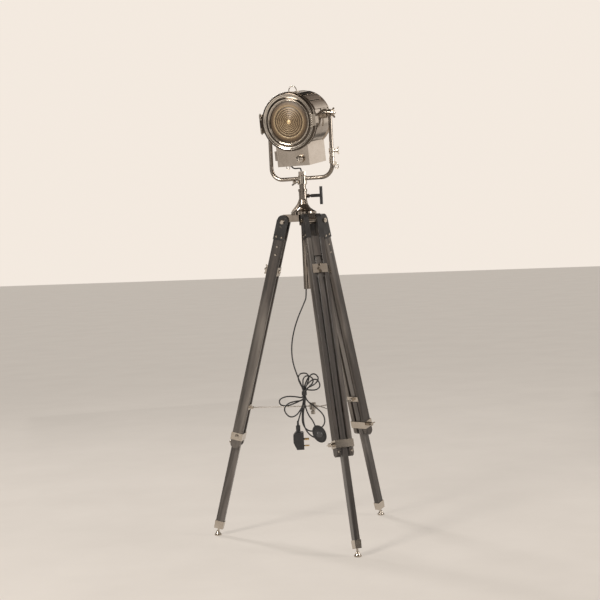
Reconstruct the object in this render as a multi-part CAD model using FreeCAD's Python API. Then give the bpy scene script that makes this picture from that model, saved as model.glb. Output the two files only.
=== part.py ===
import FreeCAD, Part
import math
import os

# Spotlight floor lamp on a wooden tripod. Millimetres and degrees, +Z up.
# The lens faces -Y. Everything is drawn about the tripod's axis and moved at the end, so that
# the origin is the centre of the footprint on the floor.

V = FreeCAD.Vector
UP = V(0, 0, 1)
DOWN = V(0, 0, -1)
AHEAD = V(0, -1, 0)
EAST = V(1, 0, 0)
NORTH = V(0, 1, 0)

# ---- Clearances ----
RUN = 0.05          # radial, shaft in a bore
GAP = 0.3           # between parts that move past each other
TIP = 0.4           # between a clamping screw's tip and what it presses on

# ---- Tripod ----
LEG_COUNT = 3
FIRST_LEG_AZIMUTH = 194.5
LEG_SPLAY = 15.0
PIVOT_HEIGHT = 1150.0
PIVOT_RADIUS = 75.0
PIVOT_BOLT_D = 10.0
PIVOT_HEAD_D = 18.0
PIVOT_HEAD_H = 5.0

RAIL_THICKNESS = 15.5
RAIL_DEPTH = 38.0
RAIL_SLOT = 32.0        # between the two rails of a leg
RAIL_TOP = 34.0         # distances along a leg are measured down from its pivot
RAIL_END = 849.0
WOOD_CHAMFER = 1.5

EAR_TOP = 24.0
EAR_PLATE = 2.0
EAR_PLATE_END = 68.0
EAR_FLANGE = 1.5
RIVET_D = 8.0
RIVET_H = 2.4
RIVET_STATION = 56.0
RIVET_SPREAD = 20.0
SCREW_D = 7.0
SCREW_H = 1.4
SCREW_STATIONS = (92.0, 122.0)

SPACER_TOP = 62.0
SPACER_LENGTH = 72.0
SPACER_END = SPACER_TOP + SPACER_LENGTH
SPACER_INSET = 2.0

PLANK_WIDTH = RAIL_SLOT - 12.0
PLANK_DEPTH = RAIL_DEPTH - 7.0
PLANK_TOP = SPACER_END + 4.0

GUIDE_STATION = PLANK_TOP + 44.0
GUIDE_HEIGHT = 32.0
GUIDE_WIDTH = RAIL_SLOT + 24.0
GUIDE_PLATE = 2.5
GUIDE_BOLT_D = 8.0
GUIDE_PAD = 60.0

CLAMP_STATION = RAIL_END - 44.0
CLAMP_HEIGHT = 27.0
CLAMP_WALL = 2.5
CLAMP_SCREW_D = 8.0
CLAMP_BOSS_D = 16.0
CLAMP_BOSS_H = 6.0
CLAMP_HEAD_D = 18.0
STOP_SCREW_D = 9.0
STOP_SCREW_H = 5.0
STOP_SCREW_STATION = RAIL_END - 18.0

FERRULE_LENGTH = 29.0
FERRULE_PROUD = 2.0
FERRULE_TAPER = 1.2
FOOT_STUD_D = 8.0
FOOT_BALL_D = 15.0
FOOT_BALL_HEIGHT = 11.0
FOOT_DISC_D = 27.0
FOOT_DISC_H = 6.0
FOOT_NECK = 16.1796         # from the ferrule's end to the ball's centre
BALL_STATION = (PIVOT_HEIGHT - FOOT_BALL_HEIGHT) / math.cos(math.radians(LEG_SPLAY))
PLANK_END = BALL_STATION - FOOT_NECK - FERRULE_LENGTH
FOOT_RADIUS = PIVOT_RADIUS + BALL_STATION * math.sin(math.radians(LEG_SPLAY))

# ---- Spreader ----
SPREADER_STATION = 692.0
SPREADER_REACH = 9.0        # from the rail's inner face to the eye's pin
SPREADER_STEP = 6.5         # the rods pass through the hub at three heights
ROD_D = 4.0
ROD_PAST_AXIS = 17.0
ROD_EYE_D = 9.0
ROD_EYE_T = 5.4
ROD_PIN_D = 3.0
BRACKET_WIDTH = 50.0
BRACKET_HEIGHT = 18.0
BRACKET_PLATE = 2.0
BRACKET_EAR = 2.5
HUB_D = 24.0
HUB_HEIGHT = 26.0
HUB_LOOSE = 1.1             # play round the two rods that slide through the hub
HUB_KNOB_D = 15.0
HUB_KNOB_H = 16.0

# ---- Crown ----
POST_D = 24.0
SLEEVE_D = 29.0
SLEEVE_LIP_D = 33.0
SLEEVE_LIP_H = 10.0
CROWN_PLATE_T = 14.0
CROWN_PLATE_BOTTOM = PIVOT_HEIGHT + 22.0
CROWN_PLATE_TOP = CROWN_PLATE_BOTTOM + CROWN_PLATE_T
CROWN_PLATE_D = 92.0
CROWN_ARM_TOP = CROWN_PLATE_BOTTOM + 4.0
CROWN_FLARE_H = 40.0
CROWN_FLARE_TOP = CROWN_PLATE_TOP + CROWN_FLARE_H
CROWN_SLEEVE_H = 39.5
CROWN_TOP = CROWN_FLARE_TOP + CROWN_SLEEVE_H
CROWN_BOSS_BOTTOM = PIVOT_HEIGHT - 16.0
CROWN_BOSS_D = 36.0
LUG_D = 24.0
RIB_THICKNESS = 6.0

# ---- Post and its clamping handle ----
POST_LENGTH = 378.0
POST_SHOULDER = CROWN_TOP + 15.5
POST_BOTTOM = POST_SHOULDER - POST_LENGTH
POST_BORE_D = 16.0
SPIGOT_D = 16.0
SWIVEL_HEIGHT = 33.0
SPIGOT_NUT_H = 14.5
SWIVEL_TOP = POST_SHOULDER + SWIVEL_HEIGHT
SPIGOT_TOP = SWIVEL_TOP + SPIGOT_NUT_H
SPIGOT_NUT_AF = 24.0
SPIGOT_PLUG_DEPTH = 22.0
SPIGOT_FLARE_H = 8.0
SPIGOT_FIT = 0.02           # radial, where the plug sits in the post
HANDLE_AZIMUTH = 25.0
HANDLE_HEIGHT = CROWN_FLARE_TOP + 14.0
HANDLE_SCREW_D = 8.0
HANDLE_BOSS_AF = 14.0
HANDLE_BOSS_REACH = 24.0
HANDLE_GRIP_D = 12.0
HANDLE_GRIP_START = 28.0
HANDLE_BAR_REACH = 66.0
HANDLE_BAR_D = 11.0
HANDLE_BAR_LENGTH = 65.0

# ---- Yoke, which clears the drum and the base under it ----
DRUM_R = 100.0
SWIVEL_D = 34.0
YOKE_BAR_HEIGHT = SWIVEL_TOP - 10.5
YOKE_TUBE_D = 14.5
YOKE_HALF_WIDTH = DRUM_R + 21.0
YOKE_CORNER_R = 43.0
YOKE_EYE_D = 28.0
YOKE_EYE_T = 10.0
SWIVEL_SCREW_AZIMUTH = 225.0
SWIVEL_SCREW_HEIGHT = POST_SHOULDER + 9.0
SWIVEL_SCREW_D = 6.0
YOKE_COLLAR_BOTTOM = YOKE_BAR_HEIGHT + YOKE_CORNER_R + 3.5
YOKE_COLLAR_TOP = YOKE_COLLAR_BOTTOM + 36.0
YOKE_COLLAR_D = 20.0
YOKE_SCREW_HEIGHT = YOKE_COLLAR_TOP + 9.0
YOKE_SCREW_D = 6.0
YOKE_RING_D = 15.0
YOKE_RING_WIRE = 3.0

# ---- Lamp head, drawn level about its tilt pivot ----
HEAD_TILT = 8.0
TILT_BOLT_D = 12.0
DRUM_DROP = 15.0            # the drum's axis lies this far below the pivot
DRUM_WALL = 2.0
DRUM_FRONT = -80.0
DRUM_BACK = 45.0
CUT_PAST = 40.0             # how far the tools that cut to the drum run past its walls
BEZEL_R = DRUM_R + 4.0
BEZEL_DEPTH = 10.0
BEZEL_INNER_R = DRUM_R - 16.0
BACK_R = DRUM_R + 3.0
BACK_DEPTH = 8.0
BACK_CROWN = 7.0
DOOR_DEPTH = 8.0
DOOR_INNER_R = DRUM_R - 20.0
LENS_R = DOOR_INNER_R - 4.0
LENS_FRAME_R = DOOR_INNER_R - 0.4
LENS_SIGHT_R = LENS_R - 2.5
LENS_THICKNESS = 5.0
LENS_STEPS = 9
LENS_STEP_H = 2.4
SLAT_COUNT = 7
SLAT_SPREAD = 21.0          # degrees from one vent slat to the next
SLAT_ARC = 13.5
SLAT_LIFT = 3.0
SLAT_T = 1.2
SLAT_MARGIN = 8.0
VENT_ARC = 8.0
LOOP_WIDTH = 34.0
LOOP_HEIGHT = 21.0
LOOP_WIRE = 3.6
LOOP_Y = -34.0
BASE_WIDTH = 125.0
BASE_FRONT = DRUM_FRONT - BEZEL_DEPTH - 1.0
BASE_BACK = DRUM_BACK + 12.0
BASE_REACH = 58.0
BASE_BOTTOM = -DRUM_DROP - DRUM_R - BASE_REACH
BASE_OVER_YOKE = 53.5
HEAD_PIVOT_HEIGHT = YOKE_BAR_HEIGHT + BASE_OVER_YOKE - BASE_BOTTOM
BASE_WALL = 2.0
BASE_RIM_DROP = 40.0
PAD_ROOT = 30.0
PAD_PLATE_HALF = 19.0
PAD_PLATE_BELOW = 44.0
PAD_PLATE_ABOVE = 20.0
LOOP_PAD_ROOT = 30.0
BASE_EYE_X = -26.0
BASE_EYE_D = 13.0
BASE_EYE_WIRE = 2.6
SIDE_CATCH_UP = 23.0
SIDE_CATCH_BACK = 6.0
SIDE_CATCH_HEIGHT = 34.0
SIDE_CATCH_LENGTH = 24.0
SIDE_CATCH_T = 3.0
SIDE_CATCH_ROLL_D = 10.0
SIDE_CATCH_LIFT = 0.5
PIVOT_PAD_D = 34.0
PIVOT_PAD_X = YOKE_HALF_WIDTH - 9.0
STEM_SLOT_WIDTH = 48.0
STEM_SLOT_FRONT = -62.0
STEM_SLOT_BACK = 34.0

HINGE_X = -BEZEL_R - 8.0
HINGE_PIN_D = 4.0
HINGE_KNUCKLE_D = 9.0
HINGE_HALF_HEIGHT = 34.0
HINGE_LEAF_HALF = 14.0
CATCH_X = BEZEL_R - 14.0
CATCH_HEIGHT = 52.0
CATCH_PIN_D = 4.0
CATCH_BARREL_D = 8.0
CATCH_STANDOFF = CATCH_BARREL_D / 2 + 0.4
CLIP_WIDTH = 34.0

CARRIAGE_HEIGHT = BASE_BOTTOM + 24.0
CARRIAGE_TRAVEL = 40.0
FOCUS_SCREW_X = 30.0
FOCUS_SCREW_D = 8.0
FOCUS_KNOB_D = 27.0
FOCUS_KNOB_H = 20.0
GUIDE_ROD_D = 6.0
GUIDE_ROD_X = -34.0
STEM_D = 12.0
HOLDER_D = 34.0
HOLDER_HEIGHT = 34.0
BULB_R = 30.0
BULB_NECK_D = 22.0
REFLECTOR_R = 52.0
REFLECTOR_DISH = 16.0
REFLECTOR_WALL = 1.5
REFLECTOR_Y = 30.0

# ---- Mains lead: points in the vertical plane that faces this azimuth ----
CORD_D = 5.0
CORD_PLANE_AZIMUTH = 25.0
CORD_ARC_SHARE = 0.45
CORD_RISER_TOP = POST_SHOULDER - 32.0
CORD_EXIT = POST_BOTTOM - 19.0
CORD_GAP = 1.2          # between neighbouring turns in the tied neck
HANK_NECK_U = -29.0
HANK_NECK_TOP = 541.0
HANK_NECK_BOTTOM = 500.0
HANK_NECK_W = -22.0     # depth of the rearmost row
TIE_WALL = 1.5
TIE_HEIGHT = 11.0
TIE_MIDDLE = 526.5
TIE_SLACK = 2.0

SWITCH_LENGTH = 66.0
SWITCH_WIDTH = 46.0
SWITCH_DEPTH = 24.0
SWITCH_U = 19.0
SWITCH_Z = 379.0
SWITCH_W = -56.0
SWITCH_LEAN = 28.0
BUTTON_D = 22.0
BUTTON_PROUD = 5.0
BUTTON_TRAVEL = 3.0
BUTTON_STEM_D = 12.0

PLUG_U = -57.0
PLUG_TOP = 388.0
PLUG_WIDTH = 38.0
PLUG_DEPTH = 40.0
PLUG_HEIGHT = 62.0
PLUG_NECK_D = 16.0
PLUG_NECK_H = 24.0
PIN_D = 5.0
PIN_LENGTH = 19.0
PIN_SPREAD = 19.0
PIN_DROP = 24.0

SPIGOT_BORE_D = CORD_D + 0.8
WING_T = 3.0

LEG_NAMES = ["leg_%d" % (k + 1) for k in range(LEG_COUNT)]


# ---------------------------------------------------------------- helpers
def cylinder(radius, start, end):
    along = end - start
    return Part.makeCylinder(radius, along.Length, start, along)


def block(x0, x1, y0, y1, z0, z1):
    return Part.makeBox(x1 - x0, y1 - y0, z1 - z0, V(x0, y0, z0))


def fused(shapes):
    whole = shapes[0].multiFuse(shapes[1:]) if len(shapes) > 1 else shapes[0]
    return whole.removeSplitter()


def moved(shape, placement):
    copy = shape.copy()
    copy.Placement = placement.multiply(copy.Placement)
    return copy


def turned(shape, axis, angle, centre=None):
    return moved(shape, FreeCAD.Placement(V(0, 0, 0), FreeCAD.Rotation(axis, angle), centre or V(0, 0, 0)))


def shifted(shape, by):
    return moved(shape, FreeCAD.Placement(by, FreeCAD.Rotation()))


def aimed(shape, origin, direction):
    """A shape drawn along +Z, set at origin and pointing along direction."""
    return moved(shape, FreeCAD.Placement(origin, FreeCAD.Rotation(UP, direction)))


def lathed(profile, axis):
    """A closed outline of (radius, distance along the axis), turned about Z or Y."""
    place = (lambda r, h: V(r, 0, h)) if axis is UP else (lambda r, h: V(r, h, 0))
    points = [place(r, h) for r, h in profile]
    face = Part.Face(Part.makePolygon(points + points[:1]))
    return face.revolve(V(0, 0, 0), V(axis), 360)


def prism(outline, direction):
    """An outline of points, extruded."""
    return Part.Face(Part.makePolygon(outline + outline[:1])).extrude(direction)


def hexagon(across_flats, height):
    corner = across_flats / 2 / math.cos(math.radians(30))
    turns = [math.radians(60 * k) for k in range(6)]
    return prism([V(corner * math.cos(a), corner * math.sin(a), 0) for a in turns], V(0, 0, height))


def azimuth(angle, length=1.0):
    return V(length * math.cos(math.radians(angle)), length * math.sin(math.radians(angle)), 0)


def chamfered_bar(x, y, z0, z1, size):
    """An upright bar with chamfered corners: half sizes x and y."""
    corners = [(x, y - size), (x - size, y), (size - x, y), (-x, y - size)]
    corners += [(-x, size - y), (size - x, -y), (x - size, -y), (x, size - y)]
    return prism([V(a, b, z0) for a, b in corners], V(0, 0, z1 - z0))


def wings(span, height, hub_r):
    """The two lobes of a wing nut or wing screw, standing up along +Z from its hub."""
    lobe = [V(hub_r - 1, 0, 0), V(span * 0.55, 0, height * 0.25), V(span * 0.92, 0, height * 0.7)]
    lobe += [V(span, 0, height * 1.15), V(span * 0.8, 0, height * 1.3), V(span * 0.5, 0, height * 0.95)]
    lobe += [V(hub_r - 1, 0, height * 0.6)]
    plate = shifted(prism(lobe, V(0, WING_T, 0)), V(0, -WING_T / 2, 0))
    return [plate, turned(plate, UP, 180)]


def wing_nut(bore_d, hub_r, height, span):
    body = fused([Part.makeCylinder(hub_r, height)] + wings(span, height, hub_r))
    return body.cut(Part.makeCylinder(bore_d / 2 + RUN, height * 3, V(0, 0, -height)))


def wing_screw(thread_d, thread_length, hub_r, height, span):
    """The thread points along -Z, and the wings stand along +Z."""
    thread = Part.makeCylinder(thread_d / 2, thread_length + 1, V(0, 0, -thread_length))
    return fused([thread, Part.makeCylinder(hub_r, height)] + wings(span, height, hub_r))


def route_wire(points, share=CORD_ARC_SHARE):
    """Straight runs joined by tangent arcs, as large as the runs allow."""
    edges = []
    radii = []
    here = points[0]
    for before, corner, after in zip(points, points[1:], points[2:]):
        arrive = (corner - before).normalize()
        leave = (after - corner).normalize()
        half_turn = arrive.getAngle(leave) / 2
        reach = share * min((corner - before).Length, (after - corner).Length)
        radius = reach / math.tan(half_turn)
        radii.append(radius)
        start = corner - arrive * reach
        end = corner + leave * reach
        inward = (leave - arrive).normalize()
        middle = corner + inward * (radius / math.cos(half_turn) - radius)
        edges.append(Part.LineSegment(here, start).toShape())
        edges.append(Part.Arc(start, middle, end).toShape())
        here = end
    edges.append(Part.LineSegment(here, points[-1]).toShape())
    return Part.Wire(edges), radii


def route_tube(name, points, diameter):
    wire, radii = route_wire(points)
    ring = Part.Wire(Part.makeCircle(diameter / 2, points[0], points[1] - points[0]))
    tube = wire.makePipeShell([ring], True, False)
    expected = wire.Length * math.pi * diameter ** 2 / 4
    print("%s: length %.0f, volume %.4f of section x length, least radius %.1f" % (
        name, wire.Length, tube.Volume / expected, min(radii)))
    print("   radii", " ".join("%.0f" % r for r in radii))
    return tube


# ---------------------------------------------------------------- tripod legs
def leg_azimuth(k):
    return FIRST_LEG_AZIMUTH + k * 360.0 / LEG_COUNT


def on_leg(shape, k):
    """From a leg's own frame (pivot at the origin, +X outward, leg down -Z) to its place."""
    lean = FreeCAD.Placement(V(PIVOT_RADIUS, 0, PIVOT_HEIGHT), FreeCAD.Rotation(NORTH, -LEG_SPLAY))
    turn = FreeCAD.Placement(V(0, 0, 0), FreeCAD.Rotation(UP, leg_azimuth(k)))
    return moved(shape, turn.multiply(lean))


RAIL_IN = RAIL_SLOT / 2
RAIL_OUT = RAIL_IN + RAIL_THICKNESS
RAIL_FACE = RAIL_DEPTH / 2
PLATE_OUT = RAIL_OUT + EAR_PLATE


def both_sides(shape):
    return [shape, shape.mirror(V(0, 0, 0), NORTH)]


def leg_rails():
    centre = (RAIL_IN + RAIL_OUT) / 2
    bar = chamfered_bar(RAIL_FACE, RAIL_THICKNESS / 2, -RAIL_END, -RAIL_TOP, WOOD_CHAMFER)
    bar = shifted(bar, V(0, centre, 0))
    round_end = cylinder(RAIL_FACE, V(0, RAIL_IN, RAIL_FACE - RAIL_END), V(0, RAIL_OUT, RAIL_FACE - RAIL_END))
    keep = fused([round_end, block(-RAIL_FACE, RAIL_FACE, RAIL_IN, RAIL_OUT, RAIL_FACE - RAIL_END, 0)])
    rails = both_sides(bar.common(keep))
    depth = RAIL_FACE - SPACER_INSET
    spacer = chamfered_bar(depth, RAIL_IN, -SPACER_END, -SPACER_TOP, WOOD_CHAMFER)
    return rails + [spacer]


def leg_hinge_ears():
    """The painted shoes that carry the rails on the pivot bolt."""
    def cheek(inner, outer, end):
        crown = cylinder(RAIL_FACE, V(0, inner, EAR_TOP - RAIL_FACE), V(0, outer, EAR_TOP - RAIL_FACE))
        return fused([crown, block(-RAIL_FACE, RAIL_FACE, inner, outer, -end, EAR_TOP - RAIL_FACE)])
    flange = block(RAIL_FACE, RAIL_FACE + EAR_FLANGE, RAIL_IN, PLATE_OUT, -EAR_PLATE_END, EAR_TOP - RAIL_FACE)
    ear = fused([cheek(RAIL_IN, PLATE_OUT, RAIL_TOP), cheek(RAIL_OUT, PLATE_OUT, EAR_PLATE_END), flange])
    ear = ear.cut(cylinder(PIVOT_BOLT_D / 2 + RUN, V(0, 0, 0), V(0, PLATE_OUT + 1, 0)))
    return both_sides(ear)


def domed(diameter, height):
    """A rivet or screw head that stands along +Z, with its rim chamfered."""
    r = diameter / 2
    return lathed([(0, 0), (r, 0), (r, height * 0.4), (r * 0.6, height), (0, height)], UP)


def leg_fittings(k):
    """Rivets, wood screws and the spreader's bracket."""
    pieces = []
    for x in (-RIVET_SPREAD / 2, RIVET_SPREAD / 2):
        pieces += both_sides(aimed(domed(RIVET_D, RIVET_H), V(x, PLATE_OUT, -RIVET_STATION), NORTH))
    for station in SCREW_STATIONS:
        pieces += both_sides(aimed(domed(SCREW_D, SCREW_H), V(0, RAIL_OUT, -station), NORTH))
    rail_middle = (RAIL_IN + RAIL_OUT) / 2
    for x, facing in ((RAIL_FACE, EAST), (-RAIL_FACE, V(-1, 0, 0))):
        place = V(x, rail_middle, -STOP_SCREW_STATION)
        if x > 0:
            pieces += both_sides(aimed(domed(STOP_SCREW_D, STOP_SCREW_H), place, facing))
    station = spreader_station(k)
    back = -RAIL_FACE - BRACKET_PLATE
    half = BRACKET_HEIGHT / 2
    plate = block(back, -RAIL_FACE, -BRACKET_WIDTH / 2, BRACKET_WIDTH / 2, -station - half, -station + half)
    ear_in = ROD_EYE_T / 2 + GAP
    pin = V(-RAIL_FACE - SPREADER_REACH, 0, -station)
    ear = block(pin.x - ROD_EYE_D / 2, back, ear_in, ear_in + BRACKET_EAR, -station - 5, -station + 5)
    reach = ear_in + BRACKET_EAR + 1.5
    bolt = cylinder(ROD_PIN_D / 2, pin - NORTH * reach, pin + NORTH * reach)
    pieces.append(fused([plate] + both_sides(ear) + [bolt]))
    return pieces


def leg_clamp():
    """A band round both rails, with shoes that steady the plank between them."""
    low = -CLAMP_STATION - CLAMP_HEIGHT / 2
    high = -CLAMP_STATION + CLAMP_HEIGHT / 2
    x = RAIL_FACE + CLAMP_WALL
    y = RAIL_OUT + CLAMP_WALL
    band = block(-x, x, -y, y, low, high).cut(block(-RAIL_FACE, RAIL_FACE, -RAIL_OUT, RAIL_OUT, low - 1, high + 1))
    boss_end = -y - CLAMP_BOSS_H
    boss = cylinder(CLAMP_BOSS_D / 2, V(0, -y, -CLAMP_STATION), V(0, boss_end, -CLAMP_STATION))
    head = aimed(domed(CLAMP_HEAD_D, 4.0), V(0, y, -CLAMP_STATION), NORTH)
    button = aimed(domed(CLAMP_HEAD_D / 2, 2.5), V(0, y + 4.0, -CLAMP_STATION), NORTH)
    hole = cylinder(CLAMP_SCREW_D / 2 + RUN, V(0, -RAIL_OUT + 1, -CLAMP_STATION), V(0, boss_end - 1, -CLAMP_STATION))
    shoe = block(-PLANK_DEPTH / 2, PLANK_DEPTH / 2, PLANK_WIDTH / 2 + GAP, RAIL_IN, low, high)
    return [fused([band, boss, head, button]).cut(hole)] + both_sides(shoe)


def leg_clamp_screw():
    start = -RAIL_OUT - TIP
    hub_start = -RAIL_OUT - CLAMP_WALL - CLAMP_BOSS_H - 4.0
    screw = wing_screw(CLAMP_SCREW_D, start - hub_start, 7.0, 8.0, 17.0)
    return [aimed(screw, V(0, hub_start, -CLAMP_STATION), V(0, -1, 0))]


def leg_plank():
    plank = chamfered_bar(PLANK_DEPTH / 2, PLANK_WIDTH / 2, -PLANK_END, -PLANK_TOP, WOOD_CHAMFER)
    reach = PLANK_DEPTH
    plank = plank.cut(cylinder(GUIDE_BOLT_D / 2 + RUN, V(-reach, 0, -GUIDE_STATION), V(reach, 0, -GUIDE_STATION)))
    half = PLANK_DEPTH / 2 - WOOD_CHAMFER
    low = -GUIDE_STATION - GUIDE_PAD / 2
    pad = block(-half, half, PLANK_WIDTH / 2, RAIL_IN - GAP, low, low + GUIDE_PAD)
    return [plank] + both_sides(pad)


def leg_guide():
    """Two plates on the faces of the rails, drawn together by a bolt through the plank."""
    half = GUIDE_HEIGHT / 2
    face = RAIL_FACE + GAP
    plates = []
    for side in (1, -1):
        x0, x1 = sorted((side * face, side * (face + GUIDE_PLATE)))
        plate = block(x0, x1, -GUIDE_WIDTH / 2, GUIDE_WIDTH / 2, -half, half)
        collar = cylinder(GUIDE_BOLT_D / 2 + 3, V(side * PLANK_DEPTH / 2, 0, 0), V(side * (face + 1), 0, 0))
        plates += [plate, collar]
    end = face + GUIDE_PLATE
    bolt = cylinder(GUIDE_BOLT_D / 2, V(-end, 0, 0), V(end + 12, 0, 0))
    head = aimed(domed(GUIDE_BOLT_D * 1.8, 5.0), V(-end, 0, 0), V(-1, 0, 0))
    return [shifted(fused(plates + [bolt, head]), V(0, 0, -GUIDE_STATION))]


def leg_guide_nut():
    start = RAIL_FACE + GAP + GUIDE_PLATE + GAP
    return [aimed(wing_nut(GUIDE_BOLT_D, 7.5, 8.0, 18.0), V(start, 0, -GUIDE_STATION), EAST)]


def leg_foot(k):
    """Ferrule, stud and ball along the leg, on a disc that lies flat on the floor."""
    x = PLANK_DEPTH / 2 + FERRULE_PROUD
    y = PLANK_WIDTH / 2 + FERRULE_PROUD
    end = PLANK_END + FERRULE_LENGTH
    top = [V(x, y, -PLANK_END), V(-x, y, -PLANK_END), V(-x, -y, -PLANK_END), V(x, -y, -PLANK_END)]
    low = [V(p.x * (1 - FERRULE_TAPER / x), p.y * (1 - FERRULE_TAPER / y), -end) for p in top]
    ferrule = Part.makeLoft([Part.makePolygon(ring + ring[:1]) for ring in (top, low)], True, True)
    stud = cylinder(FOOT_STUD_D / 2, V(0, 0, -end + 1), V(0, 0, -BALL_STATION))
    ball = Part.makeSphere(FOOT_BALL_D / 2, V(0, 0, -BALL_STATION))
    upper = on_leg(fused([ferrule, stud, ball]), k)
    r = FOOT_DISC_D / 2
    profile = [(0, 0), (r - 1, 0), (r, 1), (r, FOOT_DISC_H - 2), (r - 2, FOOT_DISC_H)]
    profile += [(FOOT_BALL_D / 2 + 1, FOOT_BALL_HEIGHT), (0, FOOT_BALL_HEIGHT)]
    disc = shifted(lathed(profile, UP), azimuth(leg_azimuth(k), FOOT_RADIUS))
    return [fused([upper, disc])]


# ---------------------------------------------------------------- spreader
def spreader_station(k):
    """Each leg's bracket sits a step apart, so that the rods cross at different heights."""
    level = (0, -1, 1)[k % 3]
    return SPREADER_STATION + level * SPREADER_STEP / math.cos(math.radians(LEG_SPLAY))


def spreader_eye(k):
    """(radius, height) of a rod's outer eye."""
    lean = math.radians(LEG_SPLAY)
    x = -RAIL_FACE - SPREADER_REACH
    station = spreader_station(k)
    radius = PIVOT_RADIUS + station * math.sin(lean) + x * math.cos(lean)
    return radius, PIVOT_HEIGHT - station * math.cos(lean) + x * math.sin(lean)


def spreader_rod(k):
    radius, height = spreader_eye(k)
    centre = V(radius, 0, height)
    eye = cylinder(ROD_EYE_D / 2, centre - NORTH * ROD_EYE_T / 2, centre + NORTH * ROD_EYE_T / 2)
    rod = cylinder(ROD_D / 2, V(-ROD_PAST_AXIS, 0, height), V(radius - ROD_EYE_D / 4, 0, height))
    bore = cylinder(ROD_PIN_D / 2 + RUN, centre - NORTH * ROD_EYE_T, centre + NORTH * ROD_EYE_T)
    return [turned(fused([eye, rod]).cut(bore), UP, leg_azimuth(k))]


def spreader_hub():
    _, middle = spreader_eye(0)
    half = HUB_HEIGHT / 2
    rim = HUB_D / 2
    profile = [(0, half), (rim - 2, half), (rim, half - 2), (rim, 2 - half), (rim - 2, -half), (3, -half)]
    profile += [(3, -half - 3), (HUB_KNOB_D / 2, -half - 4), (HUB_KNOB_D / 2, -half - HUB_KNOB_H), (0, -half - HUB_KNOB_H)]
    hub = shifted(lathed(profile, UP), V(0, 0, middle))
    for k in range(LEG_COUNT):
        _, height = spreader_eye(k)
        hole = ROD_D / 2 + (RUN if k == 0 else HUB_LOOSE)
        end = azimuth(leg_azimuth(k), HUB_D)
        hub = hub.cut(cylinder(hole, UP * height - end, UP * height + end))
    return [hub]


# ---------------------------------------------------------------- crown
def crown():
    sleeve = SLEEVE_D / 2
    lip = SLEEVE_LIP_D / 2
    plate = CROWN_PLATE_D / 2
    boss = CROWN_BOSS_D / 2
    inner = POST_D / 2 + RUN
    profile = [(inner, CROWN_TOP), (lip - 1, CROWN_TOP), (lip, CROWN_TOP - 1)]
    profile += [(lip, CROWN_TOP - SLEEVE_LIP_H + 1), (sleeve, CROWN_TOP - SLEEVE_LIP_H)]
    profile += [(sleeve, CROWN_FLARE_TOP), (sleeve + 3, CROWN_FLARE_TOP - 16), (sleeve + 10, CROWN_FLARE_TOP - 28)]
    profile += [(sleeve + 20, CROWN_PLATE_TOP + 4), (plate, CROWN_PLATE_TOP - 3), (plate, CROWN_PLATE_BOTTOM)]
    profile += [(boss, CROWN_PLATE_BOTTOM), (boss, CROWN_BOSS_BOTTOM + 2), (boss - 2, CROWN_BOSS_BOTTOM), (inner, CROWN_BOSS_BOTTOM)]
    pieces = [lathed(profile, UP)]
    lug_y = RAIL_IN - GAP
    for k in range(LEG_COUNT):
        barrel = cylinder(LUG_D / 2, V(PIVOT_RADIUS, -lug_y, PIVOT_HEIGHT), V(PIVOT_RADIUS, lug_y, PIVOT_HEIGHT))
        arm = block(boss - 2, PIVOT_RADIUS, -lug_y, lug_y, PIVOT_HEIGHT - 2, CROWN_ARM_TOP)
        nose = block(PIVOT_RADIUS, PIVOT_RADIUS + 8, -lug_y, lug_y, PIVOT_HEIGHT, CROWN_ARM_TOP - 3)
        rib = [V(inner + 1, -RIB_THICKNESS / 2, CROWN_FLARE_TOP + 8), V(sleeve + 8, -RIB_THICKNESS / 2, CROWN_FLARE_TOP - 14)]
        rib += [V(plate - 1, -RIB_THICKNESS / 2, CROWN_PLATE_TOP), V(inner + 1, -RIB_THICKNESS / 2, CROWN_PLATE_TOP)]
        rib_plate = prism(rib, V(0, RIB_THICKNESS, 0))
        pieces += [turned(piece, UP, leg_azimuth(k)) for piece in (barrel, arm, nose, rib_plate)]
    toward = azimuth(HANDLE_AZIMUTH)
    seat = aimed(hexagon(HANDLE_BOSS_AF, HANDLE_BOSS_REACH - inner), UP * HANDLE_HEIGHT + toward * inner, toward)
    pieces.append(seat)
    whole = fused(pieces)
    whole = whole.cut(cylinder(inner, UP * (CROWN_BOSS_BOTTOM - 1), UP * (CROWN_TOP + 1)))
    start = UP * HANDLE_HEIGHT
    whole = whole.cut(cylinder(HANDLE_SCREW_D / 2 + RUN, start, start + toward * (HANDLE_BOSS_REACH + 1)))
    for k in range(LEG_COUNT):
        bore = cylinder(PIVOT_BOLT_D / 2 + RUN, V(PIVOT_RADIUS, -LUG_D, PIVOT_HEIGHT), V(PIVOT_RADIUS, LUG_D, PIVOT_HEIGHT))
        whole = whole.cut(turned(bore, UP, leg_azimuth(k)))
    return [whole]


def pivot_bolts():
    bolts = []
    end = PLATE_OUT + GAP
    for k in range(LEG_COUNT):
        shaft = cylinder(PIVOT_BOLT_D / 2, V(0, -end, 0), V(0, end, 0))
        head = aimed(domed(PIVOT_HEAD_D, PIVOT_HEAD_H), V(0, end, 0), NORTH)
        nut = aimed(hexagon(PIVOT_HEAD_D - 2, PIVOT_HEAD_H), V(0, -end, 0), V(0, -1, 0))
        tip = cylinder(PIVOT_BOLT_D / 2 - 1, V(0, -end, 0), V(0, -end - PIVOT_HEAD_H - 2, 0))
        bolts.append(on_leg(fused([shaft, head, nut, tip]), k))
    return bolts


def post():
    tube = [(POST_BORE_D / 2, POST_BOTTOM), (POST_D / 2, POST_BOTTOM)]
    tube += [(POST_D / 2, POST_SHOULDER), (POST_BORE_D / 2, POST_SHOULDER)]
    return [lathed(tube, UP)]


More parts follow.
